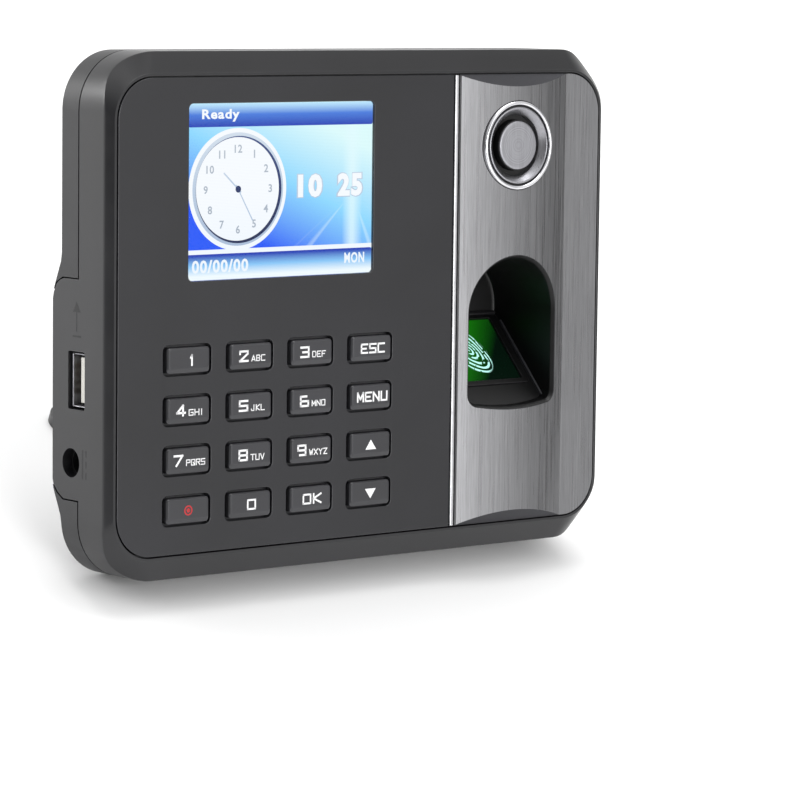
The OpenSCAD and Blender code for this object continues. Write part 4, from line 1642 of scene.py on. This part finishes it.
@dataclass
class Fascia:
    """Brushed plate at the right: a convex upright swell with sloping ends, then a flat border."""

    left: float = 29.5
    right: float = 77.2
    crease: float = 65.7
    swell: float = 2.4
    top: float = 58.2
    radius: float = 10.2
    end_run: float = 3.1
    back: float = 2.0

    @property
    def bow(self) -> tuple[float, float]:
        """Middle X and radius of the swell's round section.

        Returns:
            The middle X and the radius.
        """
        start = self.left - 0.6
        half = (self.crease - start) / 2
        return start + half, (half * half + self.swell**2) / (2 * self.swell)

    def height(self, x: float) -> float:
        """How far the swell stands proud of the panel's face at x.

        Args:
            x: distance along X.

        Returns:
            The height in millimetres.
        """
        middle, radius = self.bow
        if x >= self.crease:
            return 0.0
        return max(0.0, math.sqrt(max(0.0, radius**2 - (x - middle) ** 2)) - (radius - self.swell))

    def edge_z(self, x: float) -> float:
        """Half the plate's height at x, less where its corners are round.

        Args:
            x: distance along X.

        Returns:
            The half height in millimetres.
        """
        past = x - (self.right - self.radius)
        if past <= 0:
            return self.top
        return self.top - self.radius + math.sqrt(max(0.0, self.radius**2 - past**2))

    def columns(self) -> list[float]:
        """X of each upright line of the mesh.

        Returns:
            The X values, in order.
        """
        xs = [self.left, self.left + 0.12, self.left + 0.3]
        xs += [self.left + 0.3 + (self.crease - self.left - 0.3) * i / 60 for i in range(1, 61)]
        corner = self.right - self.radius
        xs += [self.crease + (corner - self.crease) * i / 3 for i in range(1, 4)]
        xs += [corner + self.radius * math.sin(math.pi / 2 * i / 18) for i in range(1, 18)]
        xs.append(self.right - 0.02)
        return xs

    def build(self, bench: Bench) -> None:
        """Builds the plate and cuts its two openings.

        Args:
            bench: fits each piece to its body and finish.
        """
        rows = 30
        points: list[Spot] = []
        xs = self.columns()
        for x in xs:
            rise = self.height(x)
            if x < self.left + 0.25:
                rise -= 0.25 - (x - self.left)
            end = self.edge_z(x)
            bend = end - max(0.05, max(rise, 0) * self.end_run / self.swell)
            zs = [-end] + [-bend + 2 * bend * i / rows for i in range(rows + 1)] + [end]
            for k, z in enumerate(zs):
                rounding = 0.06 if k in (0, rows + 2) else 0.0
                points.append((x, -(0.0 if k in (0, rows + 2) else rise) + rounding, z))
        line = rows + 3
        count = len(points)
        points += [(x, self.back, z) for x, _, z in points]
        faces = []
        for c in range(len(xs) - 1):
            for k in range(line - 1):
                a, b = c * line + k, (c + 1) * line + k
                faces.append((a, b, b + 1, a + 1))
                faces.append((count + a, count + a + 1, count + b + 1, count + b))
        for c in range(len(xs) - 1):
            for k in (0, line - 1):
                a, b = c * line + k, (c + 1) * line + k
                faces.append((a, b, count + b, count + a))
        for c in (0, len(xs) - 1):
            for k in range(line - 1):
                a = c * line + k
                faces.append((a, a + 1, count + a + 1, count + a))
        plate = solid("fascia_brushed", points, faces)
        mouth = slab("cut_mouth", well_outline(0.0), [], -4, 4, 0.01)
        bore = slab("cut_bore", disc(10.0, (47.5, 39.9), 96), [], -4, 4, 0.01)
        seat = slab("cut_seat", disc(11.62, (47.5, 39.9), 96), [], -4, -0.6, 0.01)
        combine(plate, [mouth, bore, seat])
        bench.fit(plate, "fascia", replaces=("sensor_fascia",), smooth_deg=9)
        # Faces sloping up or down get the darker film, painted shade for the dark reflection on the swell's
        # ends; faces looking left get the well's black finish.
        for extra in ("fascia_end", "well"):
            plate.data.materials.append(bench.finishes[extra])
        up, right = bench.placing.direction((0, 0, 1)), bench.placing.direction((1, 0, 0))
        for face in plate.data.polygons:
            if face.normal.dot(right) < -0.9:
                face.material_index = 2
            elif abs(face.normal.dot(up)) > 0.3:
                face.material_index = 1


@dataclass
class RingButton:
    """Chrome ring with a satin cone inside it, and the round steel button that it guides."""

    centre: Point = (47.5, 39.9)

    def build(self, bench: Bench) -> None:
        """Builds the ring, its groove and cone, the moat floor painted black as painted shade, and the button
        with its steel face over a flank painted black as painted shade.

        Args:
            bench: fits each piece to its body and finish.
        """
        ring = [
            (10.35, -0.68), (11.5, -0.68), (11.5, -2.25), (11.4, -2.55), (11.2, -2.74), (10.95, -2.8),
            (10.7, -2.76), (10.5, -2.6), (10.42, -2.3), (10.35, -1.8),
        ]
        bench.fit(
            revolve("ring_chrome", ring, self.centre), "chrome", replaces=("ring_bezel",), smooth_deg=50
        )
        groove = [(9.95, -0.7), (10.34, -0.7), (10.34, -1.9), (9.95, -1.9)]
        bench.fit(revolve("ring_groove", groove, self.centre), "well", smooth_deg=40)
        cone = [
            (7.9, 1.0), (9.8, 1.0), (9.8, -0.6), (9.94, -0.65), (9.94, -2.3), (9.85, -2.52), (9.6, -2.58),
            (9.35, -2.45), (8.15, -1.1), (7.9, -0.8),
        ]
        bench.fit(revolve("ring_cone", cone, self.centre), "cone", smooth_deg=40)
        # The moat's floor is painted near-black: painted shade for the shadow that lies in the moat.
        floor = [(6.62, 3.4), (7.9, 3.4), (7.9, 0.2), (6.62, 0.2)]
        bench.fit(revolve("ring_floor_painted_shade", floor, self.centre), "well")
        # The button's flank and stem take the near-black well finish: painted shade for the shadow along the
        # flank under the steel face.
        body = [
            (0, -1.95), (6.3, -1.95), (6.45, -1.8), (6.45, 3.65), (8.4, 3.7), (8.4, 4.5), (2, 4.5), (2, 5.4),
            (0, 5.4)
        ]
        stem = revolve("button_body_painted_shade", body, self.centre)
        bench.fit(stem, "well", "ring_button", ("ring_button",), smooth_deg=40)
        face = [
            (0, -1.96), (0, -2.3), (5.75, -2.3), (6.0, -2.27), (6.16, -2.18), (6.22, -2.05), (6.22, -1.96)
        ]
        bench.fit(revolve("button_disc", face, self.centre), "button", "ring_button", smooth_deg=40)


@dataclass
class FingerReader:
    """Glossy well that leads the finger to the lit prism on its ramp."""

    slope: float = math.radians(47)
    foot: Point = (1.0, -28.5)
    depth: float = 22.2
    middle_x: float = 47.5
    lip: float = 0.9
    fascia: Fascia = field(default_factory=Fascia)

    def on_ramp(self, across: float, up: float, out: float) -> Vector:
        """A spot given along the ramp.

        Args:
            across: to the right of its middle.
            up: along its slope from the well's lower lip.
            out: out of its face.

        Returns:
            The spot in upright millimetres.
        """
        c, s = math.cos(self.slope), math.sin(self.slope)
        return Vector(
            (self.middle_x + across, self.foot[0] + up * c - out * s, self.foot[1] + up * s + out * c)
        )

    def ramp_slab(
        self, name: str, outer: Sequence[Point], holes: Iterable[Sequence[Point]], low: float, high: float,
        edge: float = 0.1,
    ) -> bpy.types.Object:
        """A plate on the ramp, drawn across and up it.

        Args:
            name: the piece's name.
            outer: its outline.
            holes: outlines of its holes.
            low: its underside, out of the ramp.
            high: its face, out of the ramp.
            edge: radius of its upper edges.

        Returns:
            The object.
        """
        plate = slab(name, outer, holes, -high, -low, edge)
        for vertex in plate.data.vertices:
            vertex.co = self.on_ramp(vertex.co.x, vertex.co.z, -vertex.co.y)
        return plate

    def mouth_ring(self, grow: float, depth: float) -> list[Spot]:
        """A ring of the well's mouth that follows the fascia's swell at a given depth below it."""
        return [(x, depth - self.fascia.height(x), z) for x, z in well_outline(grow)]

    def flat_ring(self, grow: float, depth: float) -> list[Spot]:
        """A ring of the well at one depth."""
        return [(x, depth, z) for x, z in well_outline(grow)]

    def well(self) -> bpy.types.Object:
        """The well's moulding, with its chamfered lip, ramp and pocket for the prism.

        Returns:
            The well's moulding.
        """
        body = loft("finger_well_moulding", [
            self.mouth_ring(-0.04, 0.02), self.mouth_ring(-0.04, 0.5), self.flat_ring(-0.04, 2.03),
            self.flat_ring(1.4, 2.06), self.flat_ring(1.4, self.depth + 0.8),
        ])
        hollow = loft("well_hollow", [
            self.mouth_ring(0.3, -1.5), self.mouth_ring(-0.12, -0.05), self.mouth_ring(-0.2, 0.06),
            self.mouth_ring(-self.lip * 0.5, 0.42), self.mouth_ring(-self.lip * 0.85, 0.85),
            self.mouth_ring(-self.lip, 1.2), self.flat_ring(-self.lip, 3.0), self.flat_ring(
                -self.lip - 0.2, 14.0
            ),
            self.flat_ring(
                -self.lip - 0.3, self.depth - 1.5
            ), self.flat_ring(-self.lip - 0.8, self.depth - 0.4),
            self.flat_ring(-self.lip - 1.6, self.depth),
        ])
        self.keep_above(hollow, 0.0)
        self.keep_above(body, -8.0)
        pocket = self.ramp_slab("cut_prism", rounded(21.0, 20.3, 0.4, (0, 18.85), 3), [], -12, 2, 0.01)
        combine(body, [hollow, pocket])
        return body

    def keep_above(self, piece: bpy.types.Object, out: float) -> None:
        """Cuts away what lies under a plane parallel to the ramp, and closes the cut.

        Args:
            piece: the solid.
            out: the plane's height over the ramp.
        """
        cut = bmesh.new()
        cut.from_mesh(piece.data)
        spot = self.on_ramp(0, 0, out)
        normal = self.on_ramp(0, 0, 1) - self.on_ramp(0, 0, 0)
        found = bmesh.ops.bisect_plane(
            cut, geom=cut.verts[
                :
            ] + cut.edges[:] + cut.faces[:], plane_co=spot, plane_no=normal, clear_inner=True
        )
        edges = [e for e in found["geom_cut"] if isinstance(e, bmesh.types.BMEdge)]
        bmesh.ops.contextual_create(cut, geom=edges)
        bmesh.ops.recalc_face_normals(cut, faces=cut.faces)
        cut.to_mesh(piece.data)
        cut.free()

    def build(self, bench: Bench) -> None:
        """Builds the well, its frame, the top bar, the side rib and the prism.

        Args:
            bench: fits each piece to its body and finish.
        """
        bench.fit(self.well(), "well", replaces=("finger_well",), smooth_deg=28)
        frame = self.ramp_slab(
            "well_frame", rounded(24.4, 22.6, 1.0, (0, 18.6), 5), [
                rounded(20.9, 20.2, 0.5, (0, 18.85), 5)
            ], 0.0, 0.5
        )
        bench.fit(frame, "well")
        bar = self.ramp_slab("well_top_bar", rounded(26.4, 1.1, 0.4, (0, 30.6), 4), [], -0.3, 0.9, 0.3)
        bench.fit(bar, "slab")
        rib = self.ramp_slab("well_side_rib", rounded(0.6, 26.0, 0.25, (13.7, 15.0), 3), [], -0.3, 0.8, 0.22)
        bench.fit(rib, "key")
        prism = self.ramp_slab("sensor_prism", rounded(20.8, 20.1, 0.4, (0, 18.85), 4), [], -1.8, 0.02, 0.25)
        bench.fit(prism, "sensor", replaces=("sensor_glass",))


@dataclass
class RearCase:
    """Rear housing with its pockets, stand slot and screw wells, as packed, with its edges softened."""

    edge_mm: float = 0.6

    def build(self, bench: Bench) -> None:
        """Dresses the housing and the screws in it."""
        bench.dress_node("rear_housing", "rear", self.edge_mm)
        bench.dress_node("housing_screws", "zinc", 0.12)


@dataclass
class SidePorts:
    """Data socket and power socket behind the left wall."""

    usb_y: float = 13.3
    usb_z: float = -15.4
    contact_pitch: float = 2.0
    contact: tuple[float, float, float] = (7.0, 0.1, 1.0)

    def build(self, bench: Bench) -> None:
        """Dresses both sockets and builds the gold contacts on the tongue.

        Args:
            bench: fits each piece to its body and finish.
        """
        bench.dress_node("usb_socket_shell", "tin", 0.15)
        bench.dress_node("usb_socket_tongue", "white", 0.1)
        bench.dress_node("dc_socket", "slab", 0.3)
        bench.dress_node("dc_socket_pin", "tin", 0.12)
        length, thick, width = self.contact
        for k in range(4):
            z = self.usb_z + (k - 1.5) * self.contact_pitch
            outline = rounded(thick, width, 0.04, (self.usb_y + 0.6 + thick / 2, z), 2)
            strip = slab(f"usb_contact_{k + 1}", outline, [], -77.9, -77.9 + length, 0.03, Facing.SIDE, 0.02)
            bench.fit(strip, "gold")


@dataclass
class DeskStand:
    """Bent steel plate that carries the terminal, powder coated."""

    edge_mm: float = 0.5

    def build(self, bench: Bench) -> None:
        """Dresses the stand."""
        bench.dress_node("desk_stand", "coat", self.edge_mm)


@dataclass
class BackLabels:
    """Blank rating label with ruled rows, a striped code label and a round seal."""

    face: float = 28.5
    thick: float = 0.15
    rating: tuple[float, float, float, float] = (0.0, 40.0, 49.0, 30.0)
    code: tuple[float, float, float, float] = (46.8, -25.0, 12.4, 37.0)
    seal: tuple[float, float, float] = (44.6, 0.0, 6.0)

    def plate(self, name: str, outline: Sequence[Point], holes: Iterable[Sequence[Point]] = (),
              print_layer: bool = False) -> bpy.types.Object:
        """A label, or a printed layer on it, that faces the back.

        Args:
            name: the piece's name.
            outline: its outline.
            holes: outlines of its holes.
            print_layer: True for ink on top of a label.

        Returns:
            The object.
        """
        low = self.face + (self.thick if print_layer else 0.0)
        high = low + (0.02 if print_layer else self.thick)
        made = slab(name, outline, holes, -high, -low, 0.01 if print_layer else 0.05, back_edge=0.005)
        for vertex in made.data.vertices:
            vertex.co.x, vertex.co.y = vertex.co.x, -vertex.co.y
        made.data.flip_normals()
        return made

    def build(self, bench: Bench) -> None:
        """Builds the labels and what is printed on them.

        Args:
            bench: fits each piece to its body and finish.
        """
        x, z, w, h = self.rating
        bench.fit(
            self.plate("rating_label_film", rounded(w, h, 0.8, (x, z), 4)), "film", replaces=("rating_label",)
        )
        frame = self.plate("rating_frame", rounded(w - 1.2, h - 1.2, 0.5, (x, z), 4),
                           [rounded(w - 1.7, h - 1.7, 0.3, (x, z), 4)], True)
        bench.fit(frame, "seal")
        rows = 4
        step = (h - 1.6) / rows
        for k in range(rows):
            level = z + (h - 1.6) / 2 - step * (k + 0.5)
            if k:
                rule = self.plate(
                    f"rating_rule_{k}", rounded(w - 1.7, 0.16, 0.05, (x, level + step / 2), 2), (), True
                )
                bench.fit(rule, "seal")
            first = x + w / 2 - 2.6
            for j, length in enumerate(((15, 9, 8), (11, 9, 5), (13, 10, 6), (14, 12, 7))[k]):
                word = self.plate(f"rating_word_{k}_{j}", rounded(
                    length, step * 0.26, 0.2, (first - length / 2, level), 2
                ),
                                  (), True)
                first -= length + 1.6
                bench.fit(word, "grey_ink")
        x, z, w, h = self.code
        bench.fit(
            self.plate("code_label_paper", rounded(w, h, 0.8, (x, z), 4)), "code", replaces=("barcode_label",)
        )
        x, z, r = self.seal
        bench.fit(self.plate("seal_label_film", disc(r, (x, z), 64)), "seal", replaces=("seal_label",))
        band = self.plate("seal_band", disc(r - 0.7, (x, z), 64), [disc(r - 1.1, (x, z), 64)], True)
        bench.fit(band, "grey_ink")


@dataclass
class Internals:
    """What sits inside the casing, as packed."""

    dressing: tuple[tuple[str, str, float], ...] = (
        ("sensor_block", "slab", 0.2),
        ("sensor_board", "board", 0.05),
        ("sensor_ribbon", "flex", 0.0),
        ("display_panel", "tin", 0.1),
        ("display_backlight", "white", 0.1),
        ("display_ribbon", "flex", 0.0),
        ("keypad_mat", "rubber", 0.1),
        ("keypad_board", "board", 0.05),
        ("keypad_ribbon", "flex", 0.0),
        ("main_board", "board", 0.05),
        ("board_chips", "slab", 0.1),
        ("buzzer", "slab", 0.2),
        ("backup_cell", "tin", 0.2),
        ("cell_holder", "white", 0.1),
        ("button_switch", "slab", 0.1),
        ("board_screws", "zinc", 0.1),
    )

    def build(self, bench: Bench) -> None:
        """Dresses each inner piece."""
        for node, finish, edge in self.dressing:
            bench.dress_node(node, finish, edge)


# ---------------------------------------------------------------- studio


@dataclass
class Studio:
    """Pale floor, soft light and the camera."""

    floor_size: float = 6.0
    eye: Spot = (-619.6, -766.8, 84.2)
    look: Spot = (0.6313, 0.7679, -0.1087)
    roll_deg: float = -0.696
    lens_mm: float = 176.34

    def floor(self) -> None:
        """Builds the floor: a broad sheet with a fine mottle."""
        half = self.floor_size / 2
        mesh = bpy.data.meshes.new("studio_floor")
        mesh.from_pydata(
            [(-half, -half, 0), (half, -half, 0), (half, half, 0), (-half, half, 0)], [], [(0, 1, 2, 3)]
        )
        sheet = bpy.data.objects.new("studio_floor", mesh)
        bpy.context.scene.collection.objects.link(sheet)
        material = bpy.data.materials.new("studio_floor_matt")
        material.use_nodes = True
        tree = material.node_tree
        tree.nodes.clear()
        place = add(tree, "TexCoord")
        mottle = add(tree, "TexNoise", {"Vector": place.outputs["Object"], "Scale": 6.0, "Detail": 3.0})
        tone = add(tree, "MapRange", {0: mottle.outputs["Fac"], 3: 0.86, 4: 0.9})
        shade = add(tree, "CombineColor", {0: tone.outputs[0], 1: tone.outputs[0], 2: tone.outputs[0]})
        shader = add(tree, "BsdfPrincipled", {"Base Color": shade.outputs[0], "Roughness": 0.9})
        add(tree, "OutputMaterial", {"Surface": shader.outputs[0]})
        mesh.materials.append(material)

    def lamp(self, name: str, spot: Spot, target: Vector, size: tuple[float, float], watts: float) -> None:
        """Adds a rectangular soft light.

        Args:
            name: its name.
            spot: where it hangs, in metres.
            target: what it points at.
            size: its width and height in metres.
            watts: its power.
        """
        data = bpy.data.lights.new(name, "AREA")
        data.shape, data.size, data.size_y, data.energy = "RECTANGLE", size[0], size[1], watts
        lamp = bpy.data.objects.new(name, data)
        bpy.context.scene.collection.objects.link(lamp)
        lamp.location, lamp.visible_camera = spot, False
        lamp.rotation_euler = (target - Vector(spot)).to_track_quat("-Z", "Y").to_euler()

    def surroundings(self) -> None:
        """A surround that is bright behind and above, and falls off towards the front right."""
        world = bpy.data.worlds.new("studio_surround")
        world.use_nodes = True
        tree = world.node_tree
        tree.nodes.clear()
        place = add(tree, "TexCoord")
        apart = add(tree, "SeparateXYZ", {0: place.outputs["Generated"]})
        front = add(tree, "MapRange", {0: apart.outputs["X"], 1: -1.0, 2: 1.0})
        ramp = add(tree, "ValToRGB", {0: front.outputs[0]})
        stops = ramp.color_ramp.elements
        stops[0].color, stops[1].color = (0.06, 0.06, 0.06, 1), (0.05, 0.05, 0.05, 1)
        for share, light in ((0.3, 0.14), (0.48, 1.0), (0.66, 1.0), (0.8, 0.64), (0.86, 0.4), (0.94, 0.06)):
            stops.new(share).color = (light, light, light, 1)
        front_light = add(tree, "Mix", {0: 1.0, 6: ramp.outputs[0], 7: (1.6, 1.6, 1.6, 1)},
                          data_type="RGBA", blend_type="MULTIPLY")
        back = add(
            tree, "MapRange", {0: apart.outputs["Y"], 1: -0.3, 2: 0.15}, interpolation_type="SMOOTHSTEP"
        )
        up = add(tree, "MapRange", {0: apart.outputs["Z"], 1: 0.75, 2: 0.98}, interpolation_type="SMOOTHSTEP")
        bright = add(tree, "Math", {0: back.outputs[0], 1: up.outputs[0]}, operation="MAXIMUM")
        light = add(
            tree, "Mix", {
                0: bright.outputs[0], 6: front_light.outputs[2], 7: (1.0, 1.0, 1.0, 1)
            }, data_type="RGBA"
        )
        shade = add(tree, "Background", {"Color": light.outputs[2], "Strength": 1.0})
        add(tree, "OutputWorld", {"Surface": shade.outputs[0]})
        bpy.context.scene.world = world

    def camera(self, placing: Placing) -> None:
        """Sets the camera at the viewing angle that belongs to this terminal.

        Args:
            placing: where the terminal stands and leans.
        """
        data = bpy.data.cameras.new("studio_camera")
        data.lens, data.sensor_width, data.clip_start, data.clip_end = self.lens_mm, 36.0, 0.01, 20.0
        camera = bpy.data.objects.new("studio_camera", data)
        bpy.context.scene.collection.objects.link(camera)
        forward = Vector(self.look).normalized()
        right = forward.cross(Vector((0, 0, 1))).normalized()
        up = right.cross(forward)
        roll = math.radians(self.roll_deg)
        up_rolled = up * math.cos(roll) + right * math.sin(roll)
        right_rolled = forward.cross(up_rolled)
        axes = [placing.direction(axis) for axis in (right_rolled, up_rolled, -forward)]
        turn = Matrix(axes).transposed().to_4x4()
        camera.matrix_world = Matrix.Translation(placing.matrix @ Vector(self.eye)) @ turn
        bpy.context.scene.camera = camera

    def build(self, placing: Placing) -> None:
        """Builds the whole studio.

        Args:
            placing: where the terminal stands and leans.
        """
        self.floor()
        self.surroundings()
        middle = Vector((0, 0, 0.07))
        self.lamp("side_light", (-1.25, 1.2, 0.35), middle, (1.1, 0.7), 16)
        self.lamp("front_light", (-0.3, -1.9, 1.0), middle, (1.2, 0.9), 14)
        self.lamp("top_light", (0.3, 0.8, 1.7), middle, (1.6, 1.2), 20)
        self.camera(placing)
        bpy.context.scene.view_settings.view_transform = "Standard"


def main() -> None:
    """Builds the terminal and its studio."""
    logging.basicConfig(level=logging.INFO, format="%(message)s")
    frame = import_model()
    placing = Placing.from_frame(frame)
    bench = Bench(placing, Finishes(placing), frame["nodes"])
    keypad = Keypad()
    FrontCase().build(bench)
    RearCase().build(bench)
    FrontPanel().build(bench, keypad)
    keypad.build(bench)
    Display().build(bench)
    Fascia().build(bench)
    RingButton().build(bench)
    FingerReader().build(bench)
    SidePorts().build(bench)
    DeskStand().build(bench)
    BackLabels().build(bench)
    Internals().build(bench)
    Studio().build(placing)
    LOG.info("%d pieces dressed", bench.count)
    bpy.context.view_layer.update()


if __name__ == "__main__":
    main()
